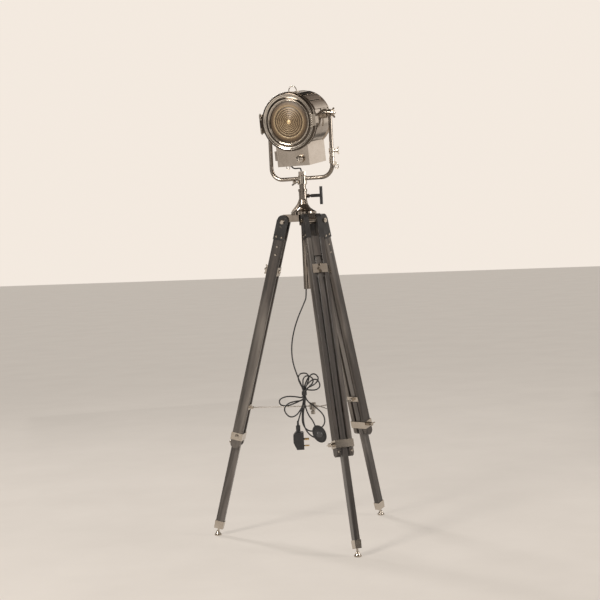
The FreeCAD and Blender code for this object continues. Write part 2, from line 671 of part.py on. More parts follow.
def spigot():
    """A turned pin whose plug is pressed into the post's bore."""
    plug = POST_BORE_D / 2 - SPIGOT_FIT
    hole = SPIGOT_BORE_D / 2
    end = POST_SHOULDER - SPIGOT_PLUG_DEPTH
    profile = [(plug, end), (plug, POST_SHOULDER), (SPIGOT_D / 2, POST_SHOULDER), (SPIGOT_D / 2, SPIGOT_TOP)]
    profile += [(hole, SPIGOT_TOP), (hole, end + SPIGOT_FLARE_H), (plug - 1, end)]
    return [lathed(profile, UP)]


def spigot_nut():
    start = SWIVEL_TOP + GAP
    nut = shifted(hexagon(SPIGOT_NUT_AF, SPIGOT_TOP - start), UP * start)
    return [nut.cut(cylinder(SPIGOT_D / 2, UP * (start - 1), UP * (SPIGOT_TOP + 1)))]


def clamp_handle():
    toward = azimuth(HANDLE_AZIMUTH)
    centre = UP * HANDLE_HEIGHT
    screw = cylinder(HANDLE_SCREW_D / 2, centre + toward * (POST_D / 2 + TIP), centre + toward * HANDLE_BAR_REACH)
    grip = cylinder(HANDLE_GRIP_D / 2, centre + toward * HANDLE_GRIP_START, centre + toward * (HANDLE_BAR_REACH - 4))
    middle = centre + toward * HANDLE_BAR_REACH
    half = UP * (HANDLE_BAR_LENGTH / 2)
    bar = cylinder(HANDLE_BAR_D / 2, middle - half, middle + half)
    screw = fused([screw, grip]).cut(bar)
    return [screw, bar]


# ---------------------------------------------------------------- yoke
def swivel_block():
    top = SWIVEL_TOP
    low = POST_SHOULDER + GAP
    r = SWIVEL_D / 2
    inner = SPIGOT_D / 2 + RUN
    body = lathed([(inner, low), (r - 2, low), (r, low + 2), (r, top - 2), (r - 2, top), (inner, top)], UP)
    bar = cylinder(YOKE_TUBE_D / 2, V(-SWIVEL_D, 0, YOKE_BAR_HEIGHT), V(SWIVEL_D, 0, YOKE_BAR_HEIGHT))
    core = cylinder(inner + 2, UP * low, UP * top)
    body = body.cut(bar.cut(core))
    toward = azimuth(SWIVEL_SCREW_AZIMUTH)
    start = UP * SWIVEL_SCREW_HEIGHT
    return [body.cut(cylinder(SWIVEL_SCREW_D / 2 + RUN, start, start + toward * SWIVEL_D))]


def swivel_screw():
    toward = azimuth(SWIVEL_SCREW_AZIMUTH)
    tip = SPIGOT_D / 2 + TIP
    hub = SWIVEL_D / 2 + 9.0
    screw = wing_screw(SWIVEL_SCREW_D, hub - tip, 6.5, 9.0, 15.0)
    return [aimed(screw, UP * SWIVEL_SCREW_HEIGHT + toward * hub, toward)]


def yoke():
    """Two bent arms, each socketed in the swivel block."""
    core = SPIGOT_D / 2 + RUN + 2
    bend = YOKE_CORNER_R
    x = YOKE_HALF_WIDTH
    low = YOKE_BAR_HEIGHT
    eye_r = YOKE_EYE_D / 2
    corner = V(x - bend * (1 - math.sin(math.radians(45))), 0, low + bend * (1 - math.cos(math.radians(45))))
    bottom = Part.LineSegment(V(core, 0, low), V(x - bend, 0, low)).toShape()
    turn = Part.Arc(V(x - bend, 0, low), corner, V(x, 0, low + bend)).toShape()
    rise = Part.LineSegment(V(x, 0, low + bend), V(x, 0, HEAD_PIVOT_HEIGHT - eye_r + 2)).toShape()
    ring = Part.Wire(Part.makeCircle(YOKE_TUBE_D / 2, V(core, 0, low), EAST))
    arm = Part.Wire([bottom, turn, rise]).makePipeShell([ring], True, False)
    arm = arm.cut(cylinder(core, UP * (low - YOKE_TUBE_D), UP * (low + YOKE_TUBE_D)))
    centre = V(x, 0, HEAD_PIVOT_HEIGHT)
    eye = cylinder(eye_r, centre - EAST * YOKE_EYE_T / 2, centre + EAST * YOKE_EYE_T / 2)
    arm = fused([arm, eye])
    arm = arm.cut(cylinder(TILT_BOLT_D / 2 + RUN, centre - EAST * YOKE_EYE_T, centre + EAST * YOKE_EYE_T))
    return [arm, arm.mirror(V(0, 0, 0), EAST)]


def yoke_fittings():
    """The split collar on one arm, its screw boss, and the small tie ring at the corner."""
    x = YOKE_HALF_WIDTH
    tube = YOKE_TUBE_D / 2
    r = YOKE_COLLAR_D / 2
    profile = [(tube, YOKE_COLLAR_BOTTOM), (r, YOKE_COLLAR_BOTTOM), (r, YOKE_COLLAR_TOP - 14)]
    profile += [(r - 1.5, YOKE_COLLAR_TOP - 12), (r - 1.5, YOKE_COLLAR_TOP), (tube, YOKE_COLLAR_TOP)]
    sleeve = lathed(profile, UP)
    head = lathed([(tube, YOKE_COLLAR_TOP), (r, YOKE_COLLAR_TOP), (r, YOKE_COLLAR_TOP + 18), (tube, YOKE_COLLAR_TOP + 18)], UP)
    boss = cylinder(6.0, V(tube + 1, 0, YOKE_SCREW_HEIGHT), V(r + 5, 0, YOKE_SCREW_HEIGHT))
    lug = block(tube + 0.5, r + 7, -2.0, 2.0, YOKE_COLLAR_BOTTOM - 8, YOKE_COLLAR_BOTTOM + 6)
    lug = lug.cut(cylinder(tube, UP * (YOKE_COLLAR_BOTTOM - 9), UP * YOKE_COLLAR_TOP))
    collar = fused([sleeve, head, boss, lug])
    collar = collar.cut(cylinder(YOKE_SCREW_D / 2 + RUN, V(0, 0, YOKE_SCREW_HEIGHT), V(3 * r, 0, YOKE_SCREW_HEIGHT)))
    collar = shifted(collar, V(x, 0, 0))
    ring_centre = V(x + r + 7, 0, YOKE_COLLAR_BOTTOM - 4 - YOKE_RING_D / 2)
    ring = Part.makeTorus(YOKE_RING_D / 2, YOKE_RING_WIRE / 2, ring_centre, NORTH)
    return [fused([collar, ring])]


def yoke_screw():
    hub = V(YOKE_HALF_WIDTH + YOKE_COLLAR_D / 2 + 5 + 3, 0, YOKE_SCREW_HEIGHT)
    reach = hub.x - YOKE_HALF_WIDTH - YOKE_TUBE_D / 2 - TIP
    return [aimed(wing_screw(YOKE_SCREW_D, reach, 6.0, 8.0, 14.0), hub, EAST)]


# ---------------------------------------------------------------- lamp head
def on_head(shape):
    """From the level frame about the tilt pivot to the head's place."""
    tilt = FreeCAD.Placement(V(0, 0, HEAD_PIVOT_HEIGHT), FreeCAD.Rotation(EAST, HEAD_TILT))
    return moved(shape, tilt)


def lathed_on_drum(profile):
    return shifted(lathed(profile, NORTH), V(0, 0, -DRUM_DROP))


def drum_cylinder(radius, front, back):
    return cylinder(radius, V(0, front, -DRUM_DROP), V(0, back, -DRUM_DROP))


def slat_angles():
    first = -SLAT_SPREAD * (SLAT_COUNT - 1) / 2
    return [first + SLAT_SPREAD * k for k in range(SLAT_COUNT)]


def drum_wedge(angle, arc, inner, outer, front, back):
    """A curved panel of the drum: angle and arc are in degrees from the top."""
    ring = drum_cylinder(outer, front, back).cut(drum_cylinder(inner, front - 1, back + 1))
    reach = 2 * outer
    half = math.radians(arc / 2)
    wedge = prism([V(0, front - 2, 0), V(-reach * math.tan(half), front - 2, reach),
                   V(reach * math.tan(half), front - 2, reach)], V(0, back - front + 4, 0))
    wedge = shifted(turned(wedge, NORTH, angle), V(0, 0, -DRUM_DROP))
    return ring.common(wedge)


def drum():
    """The drum with its fixed front bezel; slots under the slats let heat out."""
    inner = DRUM_R - DRUM_WALL
    front = DRUM_FRONT - BEZEL_DEPTH
    profile = [(BEZEL_INNER_R, front), (BEZEL_R - 2, front), (BEZEL_R, front + 2), (BEZEL_R, DRUM_FRONT - 1)]
    profile += [(BEZEL_R - 1, DRUM_FRONT), (DRUM_R, DRUM_FRONT), (DRUM_R, DRUM_BACK), (inner, DRUM_BACK)]
    profile += [(inner, DRUM_FRONT - 2), (BEZEL_INNER_R, DRUM_FRONT - 2)]
    shell = lathed_on_drum(profile)
    slots = []
    for angle in slat_angles():
        slots.append(drum_wedge(angle, VENT_ARC, inner - 1, DRUM_R + 1, DRUM_FRONT + 22, DRUM_BACK - 16))
    half = STEM_SLOT_WIDTH / 2
    slots.append(block(-half, half, STEM_SLOT_FRONT, STEM_SLOT_BACK, -DRUM_DROP - DRUM_R - 5, -DRUM_DROP - DRUM_R + CUT_PAST))
    shell = shell.cut(Part.makeCompound(slots))
    for side in (1, -1):
        hole = cylinder(3.0, V(side * (DRUM_R - CUT_PAST), 0, 0), V(side * (DRUM_R + 10), 0, 0))
        shell = shell.cut(hole)
    return [shell]


def vent_slats():
    slats = []
    inner = DRUM_R + SLAT_LIFT
    for angle in slat_angles():
        cover = drum_wedge(angle, SLAT_ARC, inner, inner + SLAT_T, DRUM_FRONT + SLAT_MARGIN, DRUM_BACK - SLAT_MARGIN)
        feet = []
        for y in (DRUM_FRONT + SLAT_MARGIN, DRUM_BACK - SLAT_MARGIN - 4):
            feet.append(drum_wedge(angle, SLAT_ARC - 2, DRUM_R, inner + SLAT_T / 2, y, y + 4))
        slats.append(fused([cover] + feet))
    return slats


def back_cover():
    r = BACK_R
    start = DRUM_BACK
    profile = [(0, start + BACK_DEPTH + BACK_CROWN), (r * 0.35, start + BACK_DEPTH + BACK_CROWN - 1)]
    profile += [(r * 0.65, start + BACK_DEPTH + BACK_CROWN - 4), (r - 8, start + BACK_DEPTH)]
    profile += [(r - 2, start + BACK_DEPTH), (r, start + BACK_DEPTH - 2), (r, start + 1), (r - 1, start)]
    profile += [(r - 9, start), (r * 0.65, start + BACK_DEPTH + BACK_CROWN - 6)]
    profile += [(r * 0.35, start + BACK_DEPTH + BACK_CROWN - 3), (0, start + BACK_DEPTH + BACK_CROWN - 2)]
    return [lathed_on_drum(profile)]


def base_box():
    """The tray under the drum, open at the top, whose rim follows the drum."""
    half = BASE_WIDTH / 2
    top = -DRUM_DROP - BASE_RIM_DROP
    outer = block(-half, half, BASE_FRONT, BASE_BACK, BASE_BOTTOM, top)
    inner = block(BASE_WALL - half, half - BASE_WALL, BASE_FRONT + BASE_WALL, BASE_BACK - BASE_WALL, BASE_BOTTOM + BASE_WALL, top + 1)
    box = outer.cut(inner).cut(drum_cylinder(DRUM_R, BASE_FRONT - 1, BASE_BACK + 1))
    box = box.cut(drum_cylinder(BEZEL_R + GAP, BASE_FRONT - 5, DRUM_FRONT + GAP))
    box = box.cut(drum_cylinder(BACK_R, DRUM_BACK, BASE_BACK + 5))
    screw = V(FOCUS_SCREW_X, 0, CARRIAGE_HEIGHT)
    guide = V(GUIDE_ROD_X, 0, CARRIAGE_HEIGHT)
    holes = [cylinder(FOCUS_SCREW_D / 2 + RUN, screw + V(0, BASE_FRONT - 5, 0), screw + V(0, BASE_FRONT + 5, 0))]
    hole = cylinder(CORD_D / 2 + GAP, lead_points()[0] + UP * 5, lead_points()[1])
    back = FreeCAD.Placement(V(0, 0, HEAD_PIVOT_HEIGHT), FreeCAD.Rotation(EAST, HEAD_TILT)).inverse()
    holes.append(moved(hole, back))
    box = box.cut(Part.makeCompound(holes))
    rod = cylinder(GUIDE_ROD_D / 2, guide + V(0, BASE_FRONT + BASE_WALL, 0), guide + V(0, BASE_BACK - BASE_WALL, 0))
    return [box, rod, base_eye(), side_catch()]


def base_eye():
    """The wire staple under the box, near its front edge."""
    centre = V(BASE_EYE_X, BASE_FRONT + BASE_EYE_D / 2, BASE_BOTTOM - BASE_EYE_D / 2 + BASE_EYE_WIRE)
    ring = Part.makeTorus(BASE_EYE_D / 2, BASE_EYE_WIRE / 2, centre, NORTH)
    return ring.cut(block(-BASE_WIDTH, 0, BASE_FRONT, 0, BASE_BOTTOM, 0))


def side_catch():
    """A low clip with a rolled edge on the box's side, near its front."""
    side = -BASE_WIDTH / 2
    low = BASE_BOTTOM + SIDE_CATCH_UP
    high = low + SIDE_CATCH_HEIGHT
    front = BASE_FRONT + SIDE_CATCH_BACK
    leaf = block(side - SIDE_CATCH_T, side, front, front + SIDE_CATCH_LENGTH, low, high)
    middle = side - SIDE_CATCH_ROLL_D / 2 - SIDE_CATCH_LIFT
    roll = cylinder(SIDE_CATCH_ROLL_D / 2, V(middle, front, low), V(middle, front, high))
    return fused([leaf, roll])


def tilt_pivots():
    """Curved pads on the drum with the two bolts that turn in the yoke's eyes."""
    end = YOKE_HALF_WIDTH + YOKE_EYE_T / 2
    pad = cylinder(PIVOT_PAD_D / 2, V(DRUM_R - PAD_ROOT, 0, 0), V(PIVOT_PAD_X, 0, 0))
    plate = block(DRUM_R - PAD_ROOT, DRUM_R + 4, -PAD_PLATE_HALF, PAD_PLATE_HALF, -PAD_PLATE_BELOW, PAD_PLATE_ABOVE)
    body = fused([pad, plate]).cut(drum_cylinder(DRUM_R, -PIVOT_PAD_D, PIVOT_PAD_D))
    keep = drum_cylinder(DRUM_R + 2.5, -PIVOT_PAD_D, PIVOT_PAD_D)
    skin = body.common(keep)
    boss = pad.cut(drum_cylinder(DRUM_R, -PIVOT_PAD_D, PIVOT_PAD_D))
    shaft = cylinder(TILT_BOLT_D / 2, V(PIVOT_PAD_X - 1, 0, 0), V(end + 1, 0, 0))
    right_end = cylinder(TILT_BOLT_D / 2 - 1, V(end, 0, 0), V(end + 16, 0, 0))
    left_cap = aimed(domed(22.0, 9.0), V(end + GAP, 0, 0), EAST)
    right = fused([skin, boss, shaft, right_end])
    left = fused([skin, boss, shaft, left_cap]).mirror(V(0, 0, 0), EAST)
    return [right, left]


def tilt_nut():
    start = YOKE_HALF_WIDTH + YOKE_EYE_T / 2 + GAP + 1
    return [aimed(wing_nut(TILT_BOLT_D - 2, 9.0, 10.0, 19.0), V(start, 0, 0), EAST)]


def top_loop():
    """A wire bail, upright on two small feet."""
    half = LOOP_WIDTH / 2 - LOOP_WIRE / 2
    seat = math.sqrt((DRUM_R + SLAT_LIFT + SLAT_T) ** 2 - half ** 2) - DRUM_DROP
    foot = V(half, LOOP_Y, seat - 6)
    top = seat + LOOP_HEIGHT - LOOP_WIRE / 2
    points = [foot, V(half, LOOP_Y, top - half * 0.75), V(half * 0.55, LOOP_Y, top)]
    points += [V(-p.x, p.y, p.z) for p in reversed(points)]
    wire, _ = route_wire(points, 0.45)
    ring = Part.Wire(Part.makeCircle(LOOP_WIRE / 2, points[0], UP))
    bail = wire.makePipeShell([ring], True, False)
    pads = []
    for x in (half, -half):
        pads.append(block(x - 5, x + 5, LOOP_Y - 5, LOOP_Y + 5, seat - LOOP_PAD_ROOT, seat + 1.5))
    loop = fused([bail] + pads).cut(drum_cylinder(DRUM_R, LOOP_Y - 20, LOOP_Y + 20))
    return [loop.cut(Part.makeCompound(vent_slats()))]


def head_fittings():
    """The fixed half of the door hinge with its pin, and the clip below the bezel."""
    knuckle = HINGE_KNUCKLE_D / 2
    y = DRUM_FRONT - BEZEL_DEPTH - GAP
    front = DRUM_FRONT - CUT_PAST
    back = DRUM_BACK + CUT_PAST
    pieces = []
    for side in (1, -1):
        z0 = -DRUM_DROP + side * (HINGE_LEAF_HALF + GAP)
        z1 = -DRUM_DROP + side * HINGE_HALF_HEIGHT
        barrel = cylinder(knuckle, V(HINGE_X, y, z0), V(HINGE_X, y, z1))
        low, high = sorted((z0, z1))
        arm = block(HINGE_X - knuckle, CUT_PAST - DRUM_R, y, y + 26, low, high)
        arm = arm.cut(block(HINGE_X + 2, CUT_PAST - DRUM_R + 1, y - 1, y + 11, low - 1, high + 1))
        arm = arm.cut(drum_cylinder(DRUM_R, front, back)).cut(drum_cylinder(BEZEL_R, front, DRUM_FRONT))
        arm = arm.cut(block(-DRUM_R + 4, 0, front, back, low - 1, high + 1))
        pieces.append(fused([barrel, arm]))
    reach = V(0, 0, HINGE_HALF_HEIGHT + 4)
    middle = V(HINGE_X, y, -DRUM_DROP)
    pin = cylinder(HINGE_PIN_D / 2, middle - reach, middle + reach)
    bracket = fused(pieces + [pin])
    floor = -DRUM_DROP - BEZEL_R
    clip = block(-CLIP_WIDTH / 2, CLIP_WIDTH / 2, DRUM_FRONT - 7, DRUM_FRONT - 1, floor - 7, floor + 20)
    clip = clip.cut(drum_cylinder(BEZEL_R, front, back))
    clip = clip.cut(block(-CLIP_WIDTH, CLIP_WIDTH, BASE_FRONT - 1, DRUM_FRONT, BASE_BOTTOM, floor - 20))
    return [bracket, clip]


def door_ring():
    """The hinged front ring that carries the lens."""
    front = DRUM_FRONT - BEZEL_DEPTH - GAP - DOOR_DEPTH
    back = front + DOOR_DEPTH
    profile = [(BEZEL_R - 3, front), (BEZEL_R, front + 3), (BEZEL_R, back - 1), (BEZEL_R - 1, back)]
    profile += [(DOOR_INNER_R, back), (DOOR_INNER_R, front + 3), (DOOR_INNER_R + 2, front + 1), (DOOR_INNER_R + 10, front + 3)]
    profile += [(BEZEL_R - 10, front + 3), (BEZEL_R - 7, front)]
    ring = lathed_on_drum(profile)
    knuckle = HINGE_KNUCKLE_D / 2
    y = DRUM_FRONT - BEZEL_DEPTH - GAP
    low = V(HINGE_X, y, -DRUM_DROP - HINGE_LEAF_HALF)
    high = V(HINGE_X, y, -DRUM_DROP + HINGE_LEAF_HALF)
    barrel = cylinder(knuckle, low, high)
    leaf = block(HINGE_X, -BEZEL_R + 8, y - 5, y - 1.5, low.z, high.z)
    leaf = leaf.cut(block(-BEZEL_R + 1, 0, back - 1.5, 0, low.z - 1, high.z + 1))
    bore = cylinder(HINGE_PIN_D / 2 + RUN, low - UP, high + UP)
    pivot = V(CATCH_X, front - CATCH_STANDOFF, -DRUM_DROP)
    tall = V(0, 0, CATCH_HEIGHT / 2 - 6)
    post_pin = cylinder(CATCH_PIN_D / 2, pivot - tall - V(0, 0, 5), pivot + tall + V(0, 0, 5))
    ears = []
    for side in (1, -1):
        z = -DRUM_DROP + side * (CATCH_HEIGHT / 2 - 3.5)
        ears.append(block(CATCH_X - 3.5, CATCH_X + 3.5, pivot.y - 3, front + 4, z - 1.5, z + 1.5))
    return [fused([ring, barrel, leaf, post_pin] + ears).cut(bore)]


def door_catch():
    """A spring lever on the door, whose tail grips outside the bezel."""
    front = DRUM_FRONT - BEZEL_DEPTH - GAP - DOOR_DEPTH
    half = CATCH_HEIGHT / 2 - 6
    low = -DRUM_DROP - half
    high = -DRUM_DROP + half
    pivot = V(CATCH_X, front - CATCH_STANDOFF, 0)
    plate = block(CATCH_X, BEZEL_R + 4, pivot.y - 1.5, pivot.y + 1.5, low, high)
    barrel = cylinder(CATCH_BARREL_D / 2, V(pivot.x, pivot.y, low), V(pivot.x, pivot.y, high))
    tail = block(BEZEL_R + 1.2, BEZEL_R + 4, pivot.y - 1.5, DRUM_FRONT + 3, low + 8, high - 8)
    lever = fused([plate, barrel, tail])
    return [lever.cut(cylinder(CATCH_PIN_D / 2 + RUN, V(pivot.x, pivot.y, low - 1), V(pivot.x, pivot.y, high + 1)))]


def lens_frame():
    front = DRUM_FRONT - BEZEL_DEPTH - GAP - DOOR_DEPTH
    profile = [(LENS_SIGHT_R, front + 2), (LENS_SIGHT_R + 2, front), (LENS_FRAME_R, front + 2)]
    profile += [(DOOR_INNER_R, front + 3), (DOOR_INNER_R, front + DOOR_DEPTH + 1), (LENS_R, front + DOOR_DEPTH + 1)]
    profile += [(LENS_R, front + 4), (LENS_SIGHT_R, front + 4)]
    return [lathed_on_drum(profile)]


def lens():
    """Flat at the back, with sloped rings that rise towards the middle of each."""
    front = DRUM_FRONT - BEZEL_DEPTH - GAP - DOOR_DEPTH + 4
    back = front + LENS_THICKNESS
    profile = [(0, back), (LENS_R, back), (LENS_R, front), (LENS_SIGHT_R, front)]
    width = LENS_SIGHT_R / (LENS_STEPS + 0.5)
    for k in range(LENS_STEPS):
        outer = LENS_SIGHT_R - k * width
        profile.append((outer - width, front - LENS_STEP_H))
        profile.append((outer - width, front))
    profile.append((0, front - LENS_STEP_H))
    return [lathed_on_drum(profile)]


def lamp_carriage():
    """The tray that slides on its rod, the focus nut, the stem and the lamp holder."""
    z = CARRIAGE_HEIGHT
    screw_r = FOCUS_SCREW_D / 2
    rod_r = GUIDE_ROD_D / 2
    nut = block(FOCUS_SCREW_X - 9, FOCUS_SCREW_X + 9, -8, 14, z - 9, z + 9)
    shoe = block(GUIDE_ROD_X - 8, GUIDE_ROD_X + 8, -8, 14, z - 8, z + 9)
    tray = block(GUIDE_ROD_X - 8, FOCUS_SCREW_X + 9, -8, 14, z + 6, z + 9)
    holder_top = -DRUM_DROP - BULB_R - 12
    stem = cylinder(STEM_D / 2, V(0, 3, z + 8), V(0, 3, holder_top - HOLDER_HEIGHT + 1))
    holder = cylinder(HOLDER_D / 2, V(0, 3, holder_top - HOLDER_HEIGHT), V(0, 3, holder_top))
    bracket = block(-4, 4, HOLDER_D / 2 - 4, REFLECTOR_Y + 1, holder_top - 24, holder_top - 20)
    whole = fused([nut, shoe, tray, stem, holder, bracket])
    holes = [cylinder(screw_r + RUN, V(FOCUS_SCREW_X, -20, z), V(FOCUS_SCREW_X, 20, z))]
    holes.append(cylinder(rod_r + RUN, V(GUIDE_ROD_X, -20, z), V(GUIDE_ROD_X, 20, z)))
    return [whole.cut(Part.makeCompound(holes))]


def bulb():
    centre = -DRUM_DROP
    neck = cylinder(BULB_NECK_D / 2, V(0, 3, centre - BULB_R - 12), V(0, 3, centre - BULB_R + 8))
    return [fused([Part.makeSphere(BULB_R, V(0, 3, centre)), neck])]


def reflector():
    """A shallow dish behind the bulb."""
    r = REFLECTOR_R
    depth = REFLECTOR_DISH
    y = REFLECTOR_Y + 8
    profile = [(0, y), (r * 0.5, y - depth * 0.25), (r, y - depth), (r + REFLECTOR_WALL, y - depth)]
    profile += [(r * 0.5 + 1, y - depth * 0.25 + REFLECTOR_WALL), (0, y + REFLECTOR_WALL)]
    dish = lathed_on_drum(profile)
    holder_top = -DRUM_DROP - BULB_R - 12
    strap = block(-4, 4, REFLECTOR_Y + 1, REFLECTOR_Y + 3, holder_top - 24, holder_top + 18)
    return [fused([dish, strap])]


def focus_screw():
    """The knob on the front of the base turns a long screw that drives the carriage."""
    z = CARRIAGE_HEIGHT
    screw = cylinder(FOCUS_SCREW_D / 2, V(FOCUS_SCREW_X, BASE_FRONT - 3, z), V(FOCUS_SCREW_X, BASE_BACK - BASE_WALL - GAP, z))
    r = FOCUS_KNOB_D / 2
    h = FOCUS_KNOB_H
    profile = [(0, 0), (r * 0.55, 0), (r * 0.6, 3), (r, 5), (r, h * 0.55), (r * 0.85, h * 0.8), (r * 0.45, h * 0.97), (0, h)]
    knob = aimed(lathed(profile, UP), V(FOCUS_SCREW_X, BASE_FRONT - 1, z), AHEAD)
    return [fused([screw, knob])]


# ---------------------------------------------------------------- mains lead
def facing(u, w, z):
    """A point of the lead: u across and w behind the plane that faces CORD_PLANE_AZIMUTH."""
    return azimuth(CORD_PLANE_AZIMUTH, u) + azimuth(CORD_PLANE_AZIMUTH + 90, w) + UP * z


GLAND_X = -34.0
GLAND_Y = -14.0
HEAD_LOW = HEAD_PIVOT_HEIGHT + BASE_BOTTOM * math.cos(math.radians(HEAD_TILT))


def lead_points():
    """From the hole under the base, over the nut and down into the spigot."""
    end = CORD_RISER_TOP + TIP + 12.6
    points = [(GLAND_X, GLAND_Y, 8), (GLAND_X, GLAND_Y, -13), (GLAND_X + 12, GLAND_Y + 5, -19)]
    points += [(-9, -3.5, -17), (0, 0, -20)]
    return [V(x, y, HEAD_LOW + z) for x, y, z in points] + [V(0, 0, end)]


def neck_pass(row, side):
    """(u, w) of one of the upright runs in the tied neck: side -1 goes down, side 1 comes up."""
    pitch = CORD_D + CORD_GAP
    return HANK_NECK_U + side * pitch / 2, HANK_NECK_W - row * pitch


# A loop leaves the neck and comes back to it: its direction in degrees from +u, its reach,
# its width, and the height at which it leaves the neck.
UPPER_LOOPS = [(90, 58, 42, 541), (46, 68, 38, 541), (22, 60, 42, 541), (64, 52, 40, 541)]
LOWER_LOOPS = [(-69, 118, 89, 500), (187, 92, 36, 508), (213, 82, 56, 500)]
LOOP_SHAPE = [(0.34, 0.62), (0.70, 1.0), (1.0, 0.62)]


def loop_points(direction, reach, width, height, w_out, w_in, side):
    """Six points round a teardrop: side 1 goes round anticlockwise, -1 clockwise."""
    along = (math.cos(math.radians(direction)), math.sin(math.radians(direction)))
    across = (-along[1] * side, along[0] * side)
    shape = [(a, -b) for a, b in LOOP_SHAPE] + [(a, b) for a, b in reversed(LOOP_SHAPE)]
    points = []
    for step, (a, b) in enumerate(shape):
        share = (step + 0.5) / len(shape)
        u = HANK_NECK_U + along[0] * reach * a + across[0] * width / 2 * b
        z = height + along[1] * reach * a + across[1] * width / 2 * b
        points.append(facing(u, w_out + (w_in - w_out) * share, z))
    return points


def hank_points():
    """Down inside the post, out to the left, then through the tied neck loop by loop."""
    points = [facing(0, 0, CORD_RISER_TOP), facing(0, 0, CORD_EXIT)]
    drop = [(-16, -4, 848), (-42, -9, 795), (-60, -12, 740), (-68, -15, 690), (-66, -17, 640), (-50, -20, 585)]
    points += [facing(u, w, z) for u, w, z in drop]
    for row in range(len(LOWER_LOOPS)):
        down_u, w = neck_pass(row, -1)
        up_u, _ = neck_pass(row, 1)
        direction, reach, width, height = LOWER_LOOPS[row]
        points += [facing(down_u, w, HANK_NECK_TOP), facing(down_u, w, height)]
        points += loop_points(direction, reach, width, height, w, w, 1)
        direction, reach, width, top = UPPER_LOOPS[row]
        points += [facing(up_u, w, height), facing(up_u, w, top)]
        points += loop_points(direction, reach, width, top, w, w - CORD_D - CORD_GAP, 1)
    down_u, w = neck_pass(3, -1)
    points += [facing(down_u, w, HANK_NECK_TOP), facing(down_u, w, HANK_NECK_BOTTOM)]
    end = switch_place(0, SWITCH_LENGTH / 2 - 6)
    return points + [facing(-20, w - 1, 450), end + UP * 22 + azimuth(CORD_PLANE_AZIMUTH, -6), end]


def tail_points():
    """From the foot switch up through the neck and down to the plug."""
    start = switch_place(-SWITCH_WIDTH / 2 + 6, -8)
    up_u, w = neck_pass(4, 1)
    down_u, _ = neck_pass(4, -1)
    points = [start, start + azimuth(CORD_PLANE_AZIMUTH, -19) + UP * 7, facing(-34, w, 400), facing(-38, w, 450)]
    points += [facing(up_u, w, HANK_NECK_BOTTOM), facing(up_u, w, HANK_NECK_TOP - 5)]
    direction, reach, width, top = UPPER_LOOPS[3]
    points += loop_points(direction, reach, width, top, w, w, 1)
    points += [facing(down_u, w, HANK_NECK_TOP), facing(down_u, w, HANK_NECK_BOTTOM)]
    return points + [facing(-46, w, 455), facing(PLUG_U, w, 425), facing(PLUG_U, w, PLUG_TOP + PLUG_NECK_H - 2)]


def least_self_gap(points, diameter, spacing=2.0):
    """Centreline distance less the diameter, between points further apart than a turn along it."""
    wire, _ = route_wire(points)
    line = wire.discretize(Distance=spacing)
    skip = int(4 * diameter / spacing)
    least = 1e9
    cells = {}
    for index, p in enumerate(line):
        cell = (int(p.x // 20), int(p.y // 20), int(p.z // 20))
        for key in [(cell[0] + a, cell[1] + b, cell[2] + c) for a in (-1, 0, 1) for b in (-1, 0, 1) for c in (-1, 0, 1)]:
            for other in cells.get(key, []):
                if index - other > skip:
                    least = min(least, (line[other] - p).Length)
        cells.setdefault(cell, []).append(index)
    return least - diameter


def switch_place(across, along, out=0.0):
    """A point of the foot switch: across it, along it towards its upper end, and out of its face."""
    lean = math.radians(SWITCH_LEAN)
    u = SWITCH_U + across * math.cos(lean) - along * math.sin(lean)
    z = SWITCH_Z + across * math.sin(lean) + along * math.cos(lean)
    return facing(u, SWITCH_W - out, z)


def on_switch(shape):
    """From the switch's own frame (+Y along it, +Z out of its face) to its place."""
    lean = FreeCAD.Placement(V(0, 0, 0), FreeCAD.Rotation(UP, SWITCH_LEAN))
    stand = FreeCAD.Placement(V(0, 0, 0), FreeCAD.Rotation(EAST, 90))
    turn = FreeCAD.Placement(switch_place(0, 0), FreeCAD.Rotation(UP, CORD_PLANE_AZIMUTH))
    return moved(shape, turn.multiply(stand).multiply(lean))


def oval(length, width, z, height):
    ring = Part.Ellipse(V(0, 0, z), length / 2, width / 2).toShape()
    ring.Placement = FreeCAD.Placement(V(0, 0, 0), FreeCAD.Rotation(UP, 90))
    return Part.Face(Part.Wire([ring])).extrude(V(0, 0, height))


def foot_switch():
    half = SWITCH_DEPTH / 2
    layers = [(SWITCH_LENGTH - 8, SWITCH_WIDTH - 8, -half, 3), (SWITCH_LENGTH, SWITCH_WIDTH, 3 - half, SWITCH_DEPTH - 10)]
    layers += [(SWITCH_LENGTH - 8, SWITCH_WIDTH - 8, half - 7, 4), (SWITCH_LENGTH - 18, SWITCH_WIDTH - 18, half - 3, 3)]
    body = fused([oval(*layer) for layer in layers])
    well = Part.makeCylinder(BUTTON_D / 2 + GAP, BUTTON_TRAVEL + 2, V(0, 0, half - BUTTON_TRAVEL - 1))
    bore = Part.makeCylinder(BUTTON_STEM_D / 2 + RUN, half, V(0, 0, 0))
    body = body.cut(Part.makeCompound([well, bore]))
    return [on_switch(body).cut(cord_bores())]


def cord_bores():
    """Holes for the lead's ends in the switch and the plug."""
    bores = []
    for points, last in ((hank_points(), True), (tail_points(), False)):
        a, b = (points[-1], points[-2]) if last else (points[0], points[1])
        along = (b - a).normalize()
        bores.append(cylinder(CORD_D / 2 + GAP, a - along * GAP, a + along * 20))
    a, b = tail_points()[-1], tail_points()[-2]
    bores.append(cylinder(CORD_D / 2 + GAP, a - UP * GAP, b))
    return Part.makeCompound(bores)


